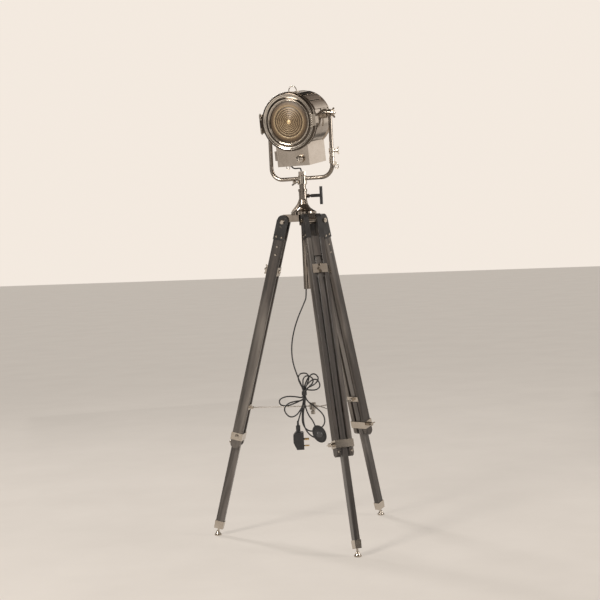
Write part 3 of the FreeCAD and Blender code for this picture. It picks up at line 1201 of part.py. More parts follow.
def switch_button():
    half = SWITCH_DEPTH / 2
    cap = lathed([(0, half - BUTTON_TRAVEL + 3), (BUTTON_D / 2, half - BUTTON_TRAVEL + 3), (BUTTON_D / 2, half + BUTTON_PROUD - 2),
                  (BUTTON_D / 2 - 3, half + BUTTON_PROUD), (0, half + BUTTON_PROUD)], UP)
    stem = Part.makeCylinder(BUTTON_STEM_D / 2, half - BUTTON_TRAVEL, V(0, 0, BUTTON_TRAVEL + 1))
    return [on_switch(fused([cap, stem]))]


def mains_plug():
    """A plug whose pins point away from it at a right angle to its lead."""
    _, w = neck_pass(4, 0)
    low = PLUG_TOP - PLUG_HEIGHT
    outline = [(-PLUG_WIDTH / 2, PLUG_TOP - 12), (-PLUG_WIDTH / 2 + 8, PLUG_TOP), (PLUG_WIDTH / 2 - 2, PLUG_TOP)]
    outline += [(PLUG_WIDTH / 2, PLUG_TOP - 3), (PLUG_WIDTH / 2, low), (-PLUG_WIDTH / 2 + 12, low), (-PLUG_WIDTH / 2, low + 26)]
    corners = [facing(PLUG_U + u, w - PLUG_DEPTH / 2, z) for u, z in outline]
    body = prism(corners, azimuth(CORD_PLANE_AZIMUTH + 90, PLUG_DEPTH))
    neck = cylinder(PLUG_NECK_D / 2, facing(PLUG_U, w, PLUG_TOP - 4), facing(PLUG_U, w, PLUG_TOP + PLUG_NECK_H))
    pins = []
    face = PLUG_U + PLUG_WIDTH / 2
    for across, z in ((-PIN_SPREAD / 2, PLUG_TOP - 26), (PIN_SPREAD / 2, PLUG_TOP - 26), (0, PLUG_TOP - 26 - PIN_DROP)):
        pins.append(cylinder(PIN_D / 2, facing(face, w + across, z), facing(face + PIN_LENGTH, w + across, z)))
    return [fused([body, neck]).cut(cord_bores())] + pins


def hank_tie():
    """A strap round the neck of the hank."""
    pitch = CORD_D + CORD_GAP
    half_u = pitch / 2 + CORD_D / 2 + TIE_SLACK
    rear = HANK_NECK_W + CORD_D / 2 + GAP
    front = HANK_NECK_W - 4 * pitch - CORD_D / 2 - GAP

    def slab(extra, low, high):
        corners = [(-half_u - extra, rear + extra), (half_u + extra, rear + extra)]
        corners += [(half_u + extra, front - extra), (-half_u - extra, front - extra)]
        return prism([facing(HANK_NECK_U + u, w, low) for u, w in corners], V(0, 0, high - low))
    outer = slab(TIE_WALL, TIE_MIDDLE - TIE_HEIGHT / 2, TIE_MIDDLE + TIE_HEIGHT / 2)
    return [outer.cut(slab(0, TIE_MIDDLE - TIE_HEIGHT, TIE_MIDDLE + TIE_HEIGHT))]


def cord(name, points):
    if name != "cord_lead":
        print(name, "least gap to itself %.2f" % least_self_gap(points, CORD_D))
    return [route_tube(name, points, CORD_D)]


NODES = {}


def add(name, shapes):
    NODES[name] = shapes


def assemble():
    for k, name in enumerate(LEG_NAMES):
        parts = {
            "rails": leg_rails(), "hinge_ears": leg_hinge_ears(), "fittings": leg_fittings(k),
            "clamp": leg_clamp(), "clamp_screw": leg_clamp_screw(), "plank": leg_plank(),
            "guide_nut": leg_guide_nut(),
        }
        for part, shapes in parts.items():
            add("%s_%s" % (name, part), [on_leg(shape, k) for shape in shapes])
        add("%s_foot" % name, leg_foot(k) + [on_leg(shape, k) for shape in leg_guide()])
        add("spreader_rod_%d" % (k + 1), spreader_rod(k))
    add("spreader_hub", spreader_hub())
    add("crown", crown())
    add("leg_pivot_bolts", pivot_bolts())
    add("centre_post", post() + spigot() + spigot_nut())
    add("clamp_handle", clamp_handle())
    add("swivel_block", swivel_block())
    add("swivel_screw", swivel_screw())
    add("yoke", yoke())
    add("yoke_fittings", yoke_fittings())
    add("yoke_screw", yoke_screw())
    head = {
        "drum": drum, "vent_slats": vent_slats, "back_cover": back_cover, "base_box": base_box,
        "tilt_pivots": tilt_pivots, "tilt_nut": tilt_nut, "top_loop": top_loop,
        "head_fittings": head_fittings, "door_ring": door_ring, "door_catch": door_catch,
        "lens_frame": lens_frame, "lens": lens, "lamp_carriage": lamp_carriage, "bulb": bulb,
        "reflector": reflector, "focus_screw": focus_screw,
    }
    for name, make in head.items():
        add(name, [on_head(shape) for shape in make()])
    for name, points in (("cord_lead", lead_points()), ("cord_hank", hank_points()), ("cord_tail", tail_points())):
        add(name, cord(name, points))
    add("hank_tie", hank_tie())
    add("foot_switch", foot_switch())
    add("switch_button", switch_button())
    add("mains_plug", mains_plug())


def footprint_shift():
    feet = [azimuth(leg_azimuth(k), FOOT_RADIUS) for k in range(LEG_COUNT)]
    xs = [p.x for p in feet]
    ys = [p.y for p in feet]
    return V(-(min(xs) + max(xs)) / 2, -(min(ys) + max(ys)) / 2, 0)


def export():
    os.makedirs("parts", exist_ok=True)
    shift = footprint_shift()
    for name, shapes in NODES.items():
        solids = []
        for shape in shapes:
            found = shifted(shape, shift).Solids
            if not found or not all(s.isValid() for s in found):
                print("CHECK", name, len(found), [s.isValid() for s in found])
            solids += found
        whole = solids[0] if len(solids) == 1 else Part.makeCompound(solids)
        whole.exportStep("parts/%s.step" % name)
    print(len(NODES), "nodes; shift", round(shift.x, 2), round(shift.y, 2))


if __name__ == "__main__":
    assemble()
    export()
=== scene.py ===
import math

import bmesh
import bpy
from mathutils import Matrix, Vector


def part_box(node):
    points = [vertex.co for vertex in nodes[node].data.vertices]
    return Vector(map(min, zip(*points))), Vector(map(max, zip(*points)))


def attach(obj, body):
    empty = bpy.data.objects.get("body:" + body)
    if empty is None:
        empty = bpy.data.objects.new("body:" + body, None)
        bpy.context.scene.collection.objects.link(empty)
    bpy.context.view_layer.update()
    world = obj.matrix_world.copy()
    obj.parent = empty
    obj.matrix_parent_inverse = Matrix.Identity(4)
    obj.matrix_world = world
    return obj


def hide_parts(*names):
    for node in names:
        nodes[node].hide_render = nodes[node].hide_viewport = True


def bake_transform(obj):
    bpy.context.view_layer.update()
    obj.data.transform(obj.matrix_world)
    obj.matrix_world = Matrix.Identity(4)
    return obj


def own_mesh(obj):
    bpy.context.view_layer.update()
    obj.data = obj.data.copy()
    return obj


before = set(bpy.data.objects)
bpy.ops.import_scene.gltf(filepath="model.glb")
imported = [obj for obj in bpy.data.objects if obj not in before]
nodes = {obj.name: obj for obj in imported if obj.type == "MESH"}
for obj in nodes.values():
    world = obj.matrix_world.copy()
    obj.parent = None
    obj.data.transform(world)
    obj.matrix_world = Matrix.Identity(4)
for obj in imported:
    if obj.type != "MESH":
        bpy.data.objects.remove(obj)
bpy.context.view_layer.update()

scene = bpy.context.scene

# ---- Stand and head, in metres, as in the part's source ----
post_low, post_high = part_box("centre_post")
AXIS = Vector(((post_low.x + post_high.x) / 2, (post_low.y + post_high.y) / 2, 0))
LEG_AZIMUTHS = {1: 194.5, 2: 314.5, 3: 74.5}
LEG_SPLAY = 15.0
PIVOT_HEIGHT = 1.150
PIVOT_RADIUS = 0.075
HEAD_PIVOT_HEIGHT = 1.530
HEAD_TILT = math.radians(8.0)
HEAD = (Matrix.Translation(AXIS + Vector((0, 0, HEAD_PIVOT_HEIGHT)))
        @ Matrix.Rotation(HEAD_TILT, 4, "X"))
DRUM_DROP = 0.015
DRUM_FRONT = -0.080
BEZEL_R = 0.104
DOOR_FRONT = -0.0983
DOOR_INNER_R = 0.080
BOX_BOTTOM = 0.173
BOX_BOTTOM_HEIGHT = HEAD_PIVOT_HEIGHT - BOX_BOTTOM * math.cos(HEAD_TILT)

# ---- Lens: the rings' radii are shares of the part of the glass that is seen ----
LENS_SIGHT_R = 0.0735
LENS_STEP = 0.0024
LENS_SET_BACK = 0.0045
LENS_THICKNESS = 0.004
LENS_RIM = 0.001
LENS_RINGS = [0.10, 0.17, 0.25, 0.33, 0.42, 0.51, 0.61, 0.73, 1.0]

# ---- Mouldings: (radius, depth) from an edge of the front ring, depth to the back ----
RING_PROUD = 0.0005
OUTER_BEAD = [(-0.001, 0.006), (0.0, 0.0025), (-0.0015, -0.0005), (-0.0045, -0.0022),
              (-0.0080, -0.0020), (-0.0102, -0.0002), (-0.0112, 0.0018), (-0.0128, 0.0026)]
LIP_BEAD = [(0.0058, 0.0026), (0.0042, 0.0012), (0.0026, -0.0006), (0.0004, -0.0014),
            (-0.0018, -0.0006), (-0.0030, 0.0016), (-0.0034, 0.0040), (0.0020, 0.0050)]
RING_BACK = (-0.0120, 0.0050)
BEZEL_PROUD = 0.0012
BEZEL_BEAD = [(0.0, -0.0005), (0.0012, -0.0035), (0.0, -0.0065),
              (-0.0022, -0.0050), (-0.0022, -0.0020)]

# ---- Camera, as it stood for the photograph ----
CAMERA_AZIMUTH = math.radians(25.0)
CAMERA_DISTANCE = 4.749
CAMERA_SIDE = -0.0285
CAMERA_HEIGHT = 1.086
CAMERA_PITCH = math.radians(2.68)
CAMERA_ROLL = math.radians(-2.7)
CAMERA_LENS = 78.4
CAMERA_SENSOR = 36.0
RIGHT = Vector((math.cos(CAMERA_AZIMUTH), math.sin(CAMERA_AZIMUTH), 0))
AWAY = Vector((-math.sin(CAMERA_AZIMUTH), math.cos(CAMERA_AZIMUTH), 0))

# ---- Mains lead: u is to the camera's right of the tripod's axis, w away from the camera ----
CORD_DIAMETER = 0.005
CORD_GAP = 0.0012
CORD_PITCH = CORD_DIAMETER + CORD_GAP
CORD_RISER_TOP = 1.249
CORD_OVERLAP = 0.013
CORD_EXIT = 0.884
DROP = [(-0.016, -0.004, 0.848), (-0.042, -0.009, 0.795), (-0.060, -0.012, 0.740),
        (-0.068, -0.015, 0.690), (-0.066, -0.017, 0.640), (-0.050, -0.020, 0.585)]
NECK_U = -0.029
NECK_W = -0.022
NECK_TOP = 0.541
NECK_BOTTOM = 0.500
TIE_Z = 0.5265
TIE_LAP = 0.002
# Each loop: direction in degrees from the neck, reach, width, and the height where it starts.
UPPER_LOOPS = [(90, 0.058, 0.042, 0.541), (46, 0.068, 0.038, 0.541), (22, 0.060, 0.042, 0.541),
               (64, 0.052, 0.040, 0.541)]
LOWER_LOOPS = [(-69, 0.118, 0.089, 0.500), (187, 0.092, 0.036, 0.508), (213, 0.082, 0.056, 0.500)]
LOOP_SHAPE = [(0.34, 0.62), (0.70, 1.0), (1.0, 0.62)]
SWITCH_ROW = 3
TAIL_ROW = 4
SWITCH_U = 0.019
SWITCH_W = -0.056
SWITCH_Z = 0.379
SWITCH_LEAN = math.radians(28.0)
SWITCH_LENGTH = 0.066
SWITCH_WIDTH = 0.046
SWITCH_SINK = 0.006
SWITCH_TAIL_DOWN = 0.008
PLUG_U = -0.057
PLUG_FACE_U = -0.0362
PLUG_TOP = 0.388
PLUG_NECK = 0.024
PLUG_LAP = 0.002
# From the box to the spigot's bore: (x, y) from the axis, and z from the box's underside.
HEAD_LEAD = [(-0.034, -0.014, 0.008), (-0.034, -0.014, -0.013), (-0.022, -0.009, -0.019),
             (-0.009, -0.0035, -0.017), (0, 0, -0.020)]
RELIEF_SIDES = 24
RELIEF_STEPS = 14
RELIEF_RIB = 0.0005

# ---- Colours ----
CHAR = (0.014, 0.012, 0.011)
NICKEL = (0.58, 0.53, 0.47)
DRUM_NICKEL = (0.70, 0.64, 0.58)
# A darker copy of the nickel, standing for the dark room that it reflects: painted reflection.
PAINTED_DARK_NICKEL = (0.36, 0.32, 0.28)
STEEL = (0.56, 0.53, 0.49)
BRASS = (0.66, 0.47, 0.22)
# Painted reflection for the turned front ring: a pale band, and a dark band of painted reflection and
# shade.
PAINTED_PALE_BAND = (0.80, 0.74, 0.66)
PAINTED_DARK_BAND = (0.10, 0.082, 0.066)
PLASTIC = (0.018, 0.018, 0.019)
# Painted light on the lens: a painted glow in the middle, a painted highlight on each crest, the glass's
# own bronze on the slope and painted shade at each foot.
PAINTED_GLASS_GLOW = [(0.0, (1.0, 0.84, 0.52)), (0.06, (0.80, 0.60, 0.32))]
PAINTED_CREST_HIGHLIGHT = (0.70, 0.54, 0.33)
GLASS_SLOPE = (0.27, 0.18, 0.10)
PAINTED_FOOT_SHADE = (0.085, 0.055, 0.032)
# Shares of the bezel's radius at which the front ring's bands of painted reflection begin and end: pale
# painted reflection on the beads, dark painted reflection and shade in the grooves.
RING_PAINTED_BANDS = [(0.765, PAINTED_PALE_BAND), (0.775, PAINTED_DARK_BAND), (0.845, PAINTED_DARK_BAND), (0.86, PAINTED_PALE_BAND),
              (0.93, PAINTED_PALE_BAND), (0.945, PAINTED_DARK_BAND), (1.0, PAINTED_DARK_BAND)]

# ---- Floor, surroundings and lights ----
FLOOR_SIZE = 60
FLOOR_DROP = 0.0004
FLOOR_TONES = [(0.3, (0.66, 0.61, 0.565)), (0.7, (0.76, 0.71, 0.665))]
FLOOR_SEEN = (0.74, 0.68, 0.61)
FLOOR_LIFT = 0.55
# A pale wall all round under a dark ceiling: (height of the look, colour).
WORLD_BANDS = [(0.0, (0.90, 0.82, 0.74)), (0.34, (0.90, 0.82, 0.74)),
               (0.50, (0.22, 0.18, 0.15)), (1.0, (0.10, 0.085, 0.07))]
# Dark screens round the lamp, seen only in its metal: (azimuth, width in degrees, bottom, top).
SCREENS = [(-62, 26, 0.0, 2.6), (-20, 12, 0.0, 5.0), (8, 9, 1.7, 5.0), (60, 8, 0.0, 3.2),
           (78, 14, 0.6, 5.0), (104, 24, 0.0, 2.4), (140, 14, 0.0, 5.0), (170, 16, 0.9, 4.2),
           (205, 20, 0.0, 2.8), (236, 10, 0.0, 5.0), (262, 18, 1.2, 4.6)]
SCREEN_DISTANCE = 4.2
LIGHT_TARGET = 1.0
# Each light: place from the target (right, away, up), size, watts, colour.
LIGHTS = {
    "key": ((-2.4, -2.6, 1.9), (0.8, 1.7), 105, (1.0, 0.95, 0.88)),
    "fill": ((3.0, -1.2, 0.9), (0.7, 1.8), 45, (1.0, 0.95, 0.90)),
    "rim": ((-1.6, 2.0, 2.4), (0.25, 1.8), 55, (1.0, 0.97, 0.94)),
}


def scaled(color, factor):
    return tuple(c * factor for c in color)


def facing(u, w, z):
    """A point of the upright plane through the axis that faces the camera, moved w back."""
    return AXIS + RIGHT * u + AWAY * w + Vector((0, 0, z))


def linked(name, data):
    """A new object in the scene."""
    thing = bpy.data.objects.new(name, data)
    scene.collection.objects.link(thing)
    return thing


def finished_mesh(builder, name):
    """The mesh made by a bmesh builder, which is then freed."""
    mesh = bpy.data.meshes.new(name)
    builder.to_mesh(mesh)
    builder.free()
    return mesh


def make_camera():
    data = bpy.data.cameras.new("camera")
    data.lens = CAMERA_LENS
    data.sensor_width = CAMERA_SENSOR
    camera = linked("camera", data)
    camera.location = facing(CAMERA_SIDE, -CAMERA_DISTANCE, CAMERA_HEIGHT)
    turn = Matrix.Rotation(CAMERA_AZIMUTH, 4, "Z")
    lean = Matrix.Rotation(math.pi / 2 - CAMERA_PITCH, 4, "X")
    roll = Matrix.Rotation(CAMERA_ROLL, 4, "Z")
    camera.rotation_euler = (turn @ lean @ roll).to_euler()
    scene.camera = camera


# ---------------------------------------------------------------- materials
class Shader:
    """A material with one Principled shader, and short names for adding nodes to it."""

    def __init__(self, name, color, metallic=0.0, roughness=0.5, **sockets):
        self.material = bpy.data.materials.new(name)
        self.material.use_nodes = True
        self.tree = self.material.node_tree
        self.principled = self.tree.nodes["Principled BSDF"]
        self.set("Base Color", (*color, 1.0))
        self.set("Metallic", metallic)
        self.set("Roughness", roughness)
        for key, value in sockets.items():
            self.set(key.replace("_", " "), value)

    def set(self, socket, value):
        self.principled.inputs[socket].default_value = value

    def to(self, output, socket):
        self.link(output, self.principled.inputs[socket])

    def link(self, output, target):
        self.tree.links.new(output, target)

    def node(self, kind, operation=None, **inputs):
        node = self.tree.nodes.new("ShaderNode" + kind)
        if operation:
            node.operation = operation
        for key, value in inputs.items():
            node.inputs[key].default_value = value
        return node

    def coordinates(self, location=(0, 0, 0), rotation=(0, 0, 0), scale=(1, 1, 1)):
        """Object coordinates, taken into a frame with that place and turn, then scaled."""
        source = self.node("TexCoord")
        place = self.node("Mapping", Location=location, Rotation=rotation)
        place.vector_type = "TEXTURE"
        self.link(source.outputs["Object"], place.inputs["Vector"])
        stretch = self.node("Mapping", Scale=scale)
        self.link(place.outputs["Vector"], stretch.inputs["Vector"])
        return stretch.outputs["Vector"]

    def radius(self, unit):
        """The distance from the drum's axis, in units of that length."""
        middle = HEAD @ Vector((0, 0, -DRUM_DROP))
        flat = self.coordinates(middle, (HEAD_TILT, 0, 0), (1 / unit, 0, 1 / unit))
        length = self.node("VectorMath", "LENGTH")
        self.link(flat, length.inputs[0])
        return length.outputs["Value"]

    def noise(self, vector, scale, detail=4.0, roughness=0.55, distortion=0.0):
        node = self.node("TexNoise", Scale=scale, Detail=detail, Roughness=roughness,
                         Distortion=distortion)
        self.link(vector, node.inputs["Vector"])
        return node.outputs["Fac"]

    def ramp(self, value, stops):
        """A colour ramp through (place, colour) stops."""
        node = self.node("ValToRGB")
        fill_ramp(node.color_ramp, stops)
        self.link(value, node.inputs["Fac"])
        return node.outputs["Color"]

    def grey_ramp(self, value, stops):
        return self.ramp(value, [(at, (v, v, v)) for at, v in stops])

    def mix(self, fac, a, b, blend="MIX"):
        """Each of fac, a and b is another node's output or a plain value."""
        node = self.node("Mix")
        node.data_type = "RGBA"
        node.blend_type = blend
        for value, socket in ((fac, node.inputs[0]), (a, node.inputs[6]), (b, node.inputs[7])):
            if hasattr(value, "is_output"):
                self.link(value, socket)
            elif isinstance(value, tuple):
                socket.default_value = (*value, 1.0)
            else:
                socket.default_value = value
        return node.outputs[2]

    def bump(self, height, strength, distance):
        node = self.node("Bump", Strength=strength, Distance=distance)
        self.link(height, node.inputs["Height"])
        self.to(node.outputs["Normal"], "Normal")


def fill_ramp(color_ramp, stops):
    elements = color_ramp.elements
    while len(elements) < len(stops):
        elements.new(0.5)
    for element, (at, color) in zip(elements, stops):
        element.position = at
        element.color = (*color, 1.0)


def leg_frame(number):
    """Location and turn of a leg's own frame: pivot at the origin, leg down -Z."""
    azimuth = math.radians(LEG_AZIMUTHS[number])
    outward = Vector((math.cos(azimuth), math.sin(azimuth), 0))
    pivot = AXIS + outward * PIVOT_RADIUS + Vector((0, 0, PIVOT_HEIGHT))
    turn = Matrix.Rotation(azimuth, 3, "Z") @ Matrix.Rotation(math.radians(-LEG_SPLAY), 3, "Y")
    return pivot, turn


def wood(name, number, light, streak, roughness, coat):
    """Charred stain: the grain runs along the leg, with pale worn streaks and dark pores."""
    shader = Shader(name, CHAR, roughness=roughness)
    pivot, turn = leg_frame(number)
    angles = turn.to_euler()
    grain = shader.coordinates(pivot, angles, (1, 1, 0.035))
    fibre = shader.coordinates(pivot, angles, (1, 1, 0.012))
    long = shader.coordinates(pivot, angles, (1, 1, 0.12))
    broad = shader.noise(grain, 55.0, detail=5.0, roughness=0.6, distortion=0.6)
    fine = shader.noise(fibre, 420.0, detail=3.0, roughness=0.7)
    worn = shader.noise(long, 14.0, detail=3.0, roughness=0.55, distortion=0.4)
    between = tuple((a + b) / 2 for a, b in zip(CHAR, light))
    body = shader.ramp(broad, [(0.30, CHAR), (0.52, between), (0.74, light)])
    pores = shader.grey_ramp(fine, [(0.34, 0.45), (0.52, 1.0)])
    color = shader.mix(0.75, body, pores, "MULTIPLY")
    patches = shader.grey_ramp(worn, [(0.52, 0.0), (0.72, 0.65)])
    gloss = shader.grey_ramp(broad, [(0.25, roughness - 0.12), (0.75, roughness + 0.14)])
    shader.to(shader.mix(patches, color, streak), "Base Color")
    shader.to(gloss, "Roughness")
    shader.bump(fine, strength=0.35, distance=0.0006)
    shader.set("Coat Weight", coat)
    shader.set("Coat Roughness", 0.25)
    return shader.material


def plated(name, color, roughness, tarnish, smear=(1, 1, 1), scale=9.0, grain=0.0):
    """Plated metal: cloudy tarnish, smeared gloss and, with grain, fine brushing."""
    shader = Shader(name, color, metallic=1.0, roughness=roughness)
    smeared = shader.coordinates(scale=smear)
    clouds = shader.noise(smeared, scale, detail=5.0, roughness=0.6, distortion=0.3)
    specks = shader.noise(shader.coordinates(), 160.0, detail=3.0, roughness=0.6)
    bright = tuple(min(1.0, c) for c in scaled(color, 1.08))
    shade = shader.ramp(clouds, [(0.28, tarnish), (0.58, color), (0.85, bright)])
    spots = shader.grey_ramp(specks, [(0.30, 0.72), (0.40, 1.0)])
    shader.to(shader.mix(0.5, shade, spots, "MULTIPLY"), "Base Color")
    shader.to(shader.grey_ramp(clouds, [(0.25, roughness + 0.16), (0.7, roughness)]), "Roughness")
    if grain:
        brushed = shader.coordinates(scale=(1, 1, 0.02))
        lines = shader.noise(brushed, 700.0, detail=2.0, roughness=0.6)
        shader.bump(lines, strength=grain, distance=0.0004)
    else:
        shader.bump(specks, strength=0.06, distance=0.0004)
    return shader.material


def painted(name, color, worn, roughness):
    """Paint over metal, rubbed through in small chips."""
    shader = Shader(name, color, roughness=roughness)
    chips = shader.noise(shader.coordinates(), 95.0, detail=6.0, roughness=0.65, distortion=0.2)
    clouds = shader.noise(shader.coordinates(), 18.0, detail=3.0)
    mask = shader.grey_ramp(chips, [(0.66, 0.0), (0.70, 1.0)])
    base = shader.ramp(clouds, [(0.3, scaled(color, 0.75)), (0.7, scaled(color, 1.35))])
    gloss = shader.grey_ramp(clouds, [(0.3, roughness - 0.1), (0.7, roughness + 0.12)])
    shader.to(shader.mix(mask, base, worn), "Base Color")
    shader.to(gloss, "Roughness")
    shader.bump(clouds, strength=0.12, distance=0.0008)
    return shader.material


def moulded(name, color, roughness, pebble, strength):
    """Moulded plastic or rubber with a fine pebble and faint dust."""
    shader = Shader(name, color, roughness=roughness)
    fine = shader.noise(shader.coordinates(), pebble, detail=2.0, roughness=0.5)
    dust = shader.noise(shader.coordinates(), 22.0, detail=4.0, roughness=0.6)
    pale = tuple(min(1.0, c * 1.9 + 0.012) for c in color)
    gloss = shader.grey_ramp(dust, [(0.3, roughness - 0.06), (0.8, roughness + 0.15)])
    shader.to(shader.ramp(dust, [(0.42, color), (0.80, pale)]), "Base Color")
    shader.to(gloss, "Roughness")
    shader.bump(fine, strength=strength, distance=0.0003)
    return shader.material


def lens_glass():
    """Bronze stepped glass with painted light: a painted glow in the middle, and in each ring a painted
    highlight on the crest and painted shade at the foot.
    """
    shader = Shader("bronze_glass", (0.30, 0.20, 0.11), metallic=0.2, roughness=0.2, IOR=1.5)
    shader.set("Transmission Weight", 0.12)
    shader.set("Coat Weight", 0.15)
    shader.set("Coat Roughness", 0.25)
    stops = list(PAINTED_GLASS_GLOW)
    for inner, outer in zip(LENS_RINGS, LENS_RINGS[1:]):
        width = outer - inner
        # The painted glow, highlights and shade grow darker towards the rim.
        painted_glow_fade = 1.0 - 0.35 * inner
        stops.append((inner + width * 0.08, scaled(PAINTED_CREST_HIGHLIGHT, painted_glow_fade)))
        stops.append((inner + width * 0.34, scaled(GLASS_SLOPE, painted_glow_fade)))
        stops.append((outer - width * 0.10, scaled(PAINTED_FOOT_SHADE, painted_glow_fade)))
    # Painted glow, highlights and shade, by the distance from the drum's axis.
    tone = shader.ramp(shader.radius(LENS_SIGHT_R), stops)
    wisps = shader.noise(shader.coordinates(), 26.0, detail=3.0, roughness=0.5, distortion=0.5)
    clouds = shader.grey_ramp(wisps, [(0.3, 0.72), (0.7, 1.0)])
    shader.to(shader.mix(0.6, tone, clouds, "MULTIPLY"), "Base Color")
    shader.to(shader.grey_ramp(wisps, [(0.3, 0.36), (0.7, 0.46)]), "Roughness")
    return shader.material


def turned():
    """Polished mouldings turned on the front ring, with painted reflection by radius: dark painted
    reflection and shade in the grooves between bands of pale painted reflection on the beads.
    """
    shader = Shader("turned_nickel_painted_bands", PAINTED_PALE_BAND, metallic=1.0, roughness=0.10)
    # Bands of painted reflection and shade, by the distance from the drum's axis.
    tone = shader.ramp(shader.radius(BEZEL_R), RING_PAINTED_BANDS)
    smears = shader.noise(shader.coordinates(), 18.0, detail=4.0, roughness=0.55, distortion=0.4)
    clouds = shader.grey_ramp(smears, [(0.3, 0.55), (0.65, 1.0)])
    shader.to(shader.mix(0.4, tone, clouds, "MULTIPLY"), "Base Color")
    shader.to(shader.grey_ramp(smears, [(0.3, 0.22), (0.7, 0.08)]), "Roughness")
    return shader.material


def plug_moulding():
    """Black moulded body, with brass for the pins that stand past its face."""
    shader = Shader("plug_plastic", PLASTIC, roughness=0.4)
    split = shader.node("SeparateXYZ")
    place = shader.coordinates(facing(PLUG_FACE_U, 0, 0), (0, 0, CAMERA_AZIMUTH))
    shader.link(place, split.inputs[0])
    past_face = shader.node("Math", "GREATER_THAN")
    past_face.inputs[1].default_value = 0.0
    shader.link(split.outputs["X"], past_face.inputs[0])
    pins = past_face.outputs[0]
    specks = shader.noise(shader.coordinates(), 420.0, detail=3.0, roughness=0.6)
    body = shader.ramp(specks, [(0.3, (0.014, 0.014, 0.015)), (0.7, (0.026, 0.026, 0.027))])
    shader.to(shader.mix(pins, body, BRASS), "Base Color")
    shader.to(pins, "Metallic")
    shader.to(shader.grey_ramp(specks, [(0.3, 0.48), (0.7, 0.30)]), "Roughness")
    shader.bump(specks, strength=0.08, distance=0.0004)
    return shader.material


def bulb_glass():
    """Frosted glass."""
    shader = Shader("bulb_glass", (0.93, 0.90, 0.84), roughness=0.25, IOR=1.45,
                    Transmission_Weight=0.4)
    frost = shader.noise(shader.coordinates(), 60.0, detail=3.0)
    shader.to(shader.grey_ramp(frost, [(0.3, 0.2), (0.7, 0.4)]), "Roughness")
    return shader.material


# ---------------------------------------------------------------- the frame's own nodes
def dress(material, *names):
    for name in names:
        mesh = nodes[name].data
        mesh.materials.clear()
        mesh.materials.append(material)


def soften(width, *names):
    """A small bevel along a node's sharp edges, so that they catch the light."""
    for name in names:
        edge = nodes[name].modifiers.new("edge", "BEVEL")
        edge.width = width
        edge.segments = 2
        edge.limit_method = "ANGLE"
        edge.angle_limit = math.radians(40)
        edge.harden_normals = True


def on_legs(*parts):
    """The names of those nodes on every leg."""
    return ["leg_%d_%s" % (number, part) for number in LEG_AZIMUTHS for part in parts]


def dress_legs():
    for number in LEG_AZIMUTHS:
        leg = "leg_%d" % number
        rails = wood(leg + "_stain", number, (0.085, 0.068, 0.058), (0.26, 0.235, 0.21),
                     roughness=0.50, coat=0.2)
        plank = wood(leg + "_plank_stain", number, (0.08, 0.066, 0.057), (0.24, 0.22, 0.205),
                     roughness=0.36, coat=0.6)
        dress(rails, leg + "_rails")
        dress(plank, leg + "_plank")
    paint = painted("black_paint", (0.020, 0.019, 0.019), (0.16, 0.13, 0.10), 0.42)
    dress(paint, *on_legs("hinge_ears"))


def dress_nodes():
    dress_legs()
    soften(0.0012, *on_legs("rails", "plank", "hinge_ears"))
    soften(0.0006, *on_legs("clamp", "foot"))
    soften(0.0006, "crown", "swivel_block", "base_box", "back_cover", "spreader_hub",
           "head_fittings", "door_catch")
    bright = plated("nickel", NICKEL, 0.09, (0.44, 0.39, 0.33))
    dress(bright, *on_legs("fittings", "clamp", "clamp_screw", "guide_nut", "foot"))
    dress(bright, "leg_pivot_bolts", "swivel_block", "swivel_screw", "yoke_fittings", "yoke_screw",
          "tilt_pivots", "tilt_nut", "top_loop", "head_fittings", "door_catch", "focus_screw",
          "lens_frame")
    # A darker copy of the nickel: painted dark reflection on the crown, post and yoke.
    dark = plated("nickel_painted_dark", PAINTED_DARK_NICKEL, 0.07, (0.20, 0.17, 0.14), (1, 1, 0.4), 14.0)
    dress(dark, "crown", "centre_post", "yoke")
    drum = plated("drum_nickel", DRUM_NICKEL, 0.08, (0.50, 0.44, 0.375), (1, 0.35, 1), 7.0)
    dress(drum, "drum", "vent_slats", "back_cover", "base_box")
    rods = plated("rod_steel", STEEL, 0.3, (0.30, 0.26, 0.22))
    dress(rods, "spreader_rod_1", "spreader_rod_2", "spreader_rod_3", "spreader_hub")
    dress(plated("dish_mirror", (0.88, 0.86, 0.82), 0.08, (0.7, 0.66, 0.6)), "reflector")
    carriage = plated("carriage_steel", STEEL, 0.3, (0.35, 0.32, 0.29), grain=0.2)
    dress(carriage, "lamp_carriage")
    dress(bulb_glass(), "bulb")
    handle = painted("handle_black", (0.02, 0.019, 0.02), (0.3, 0.28, 0.25), 0.35)
    dress(handle, "clamp_handle")
    dress(moulded("black_plastic", PLASTIC, 0.42, 420.0, 0.12), "foot_switch", "hank_tie")
    dress(plug_moulding(), "mains_plug")
    button = moulded("button_plastic", (0.035, 0.035, 0.037), 0.3, 300.0, 0.06)
    dress(button, "switch_button")


# ---------------------------------------------------------------- the head's own pieces
def smooth_piece(name, mesh, material, body, levels):
    """An object of that mesh, shaded smooth, rounded and riding on a body."""
    for face in mesh.polygons:
        face.use_smooth = True
    mesh.materials.append(material)
    piece = linked(name, mesh)
    rounding = piece.modifiers.new("rounding", "SUBSURF")
    rounding.levels = levels
    rounding.render_levels = levels
    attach(piece, body)
    return piece


def join_rings(builder, low, high):
    """Faces between two rings of vertices, either of which may be a single point."""
    count = max(len(low), len(high))
    for step in range(count):
        after = (step + 1) % count
        if len(low) == 1:
            builder.faces.new((low[0], high[after], high[step]))
        elif len(high) == 1:
            builder.faces.new((low[step], low[after], high[0]))
        else:
            builder.faces.new((low[step], low[after], high[after], high[step]))


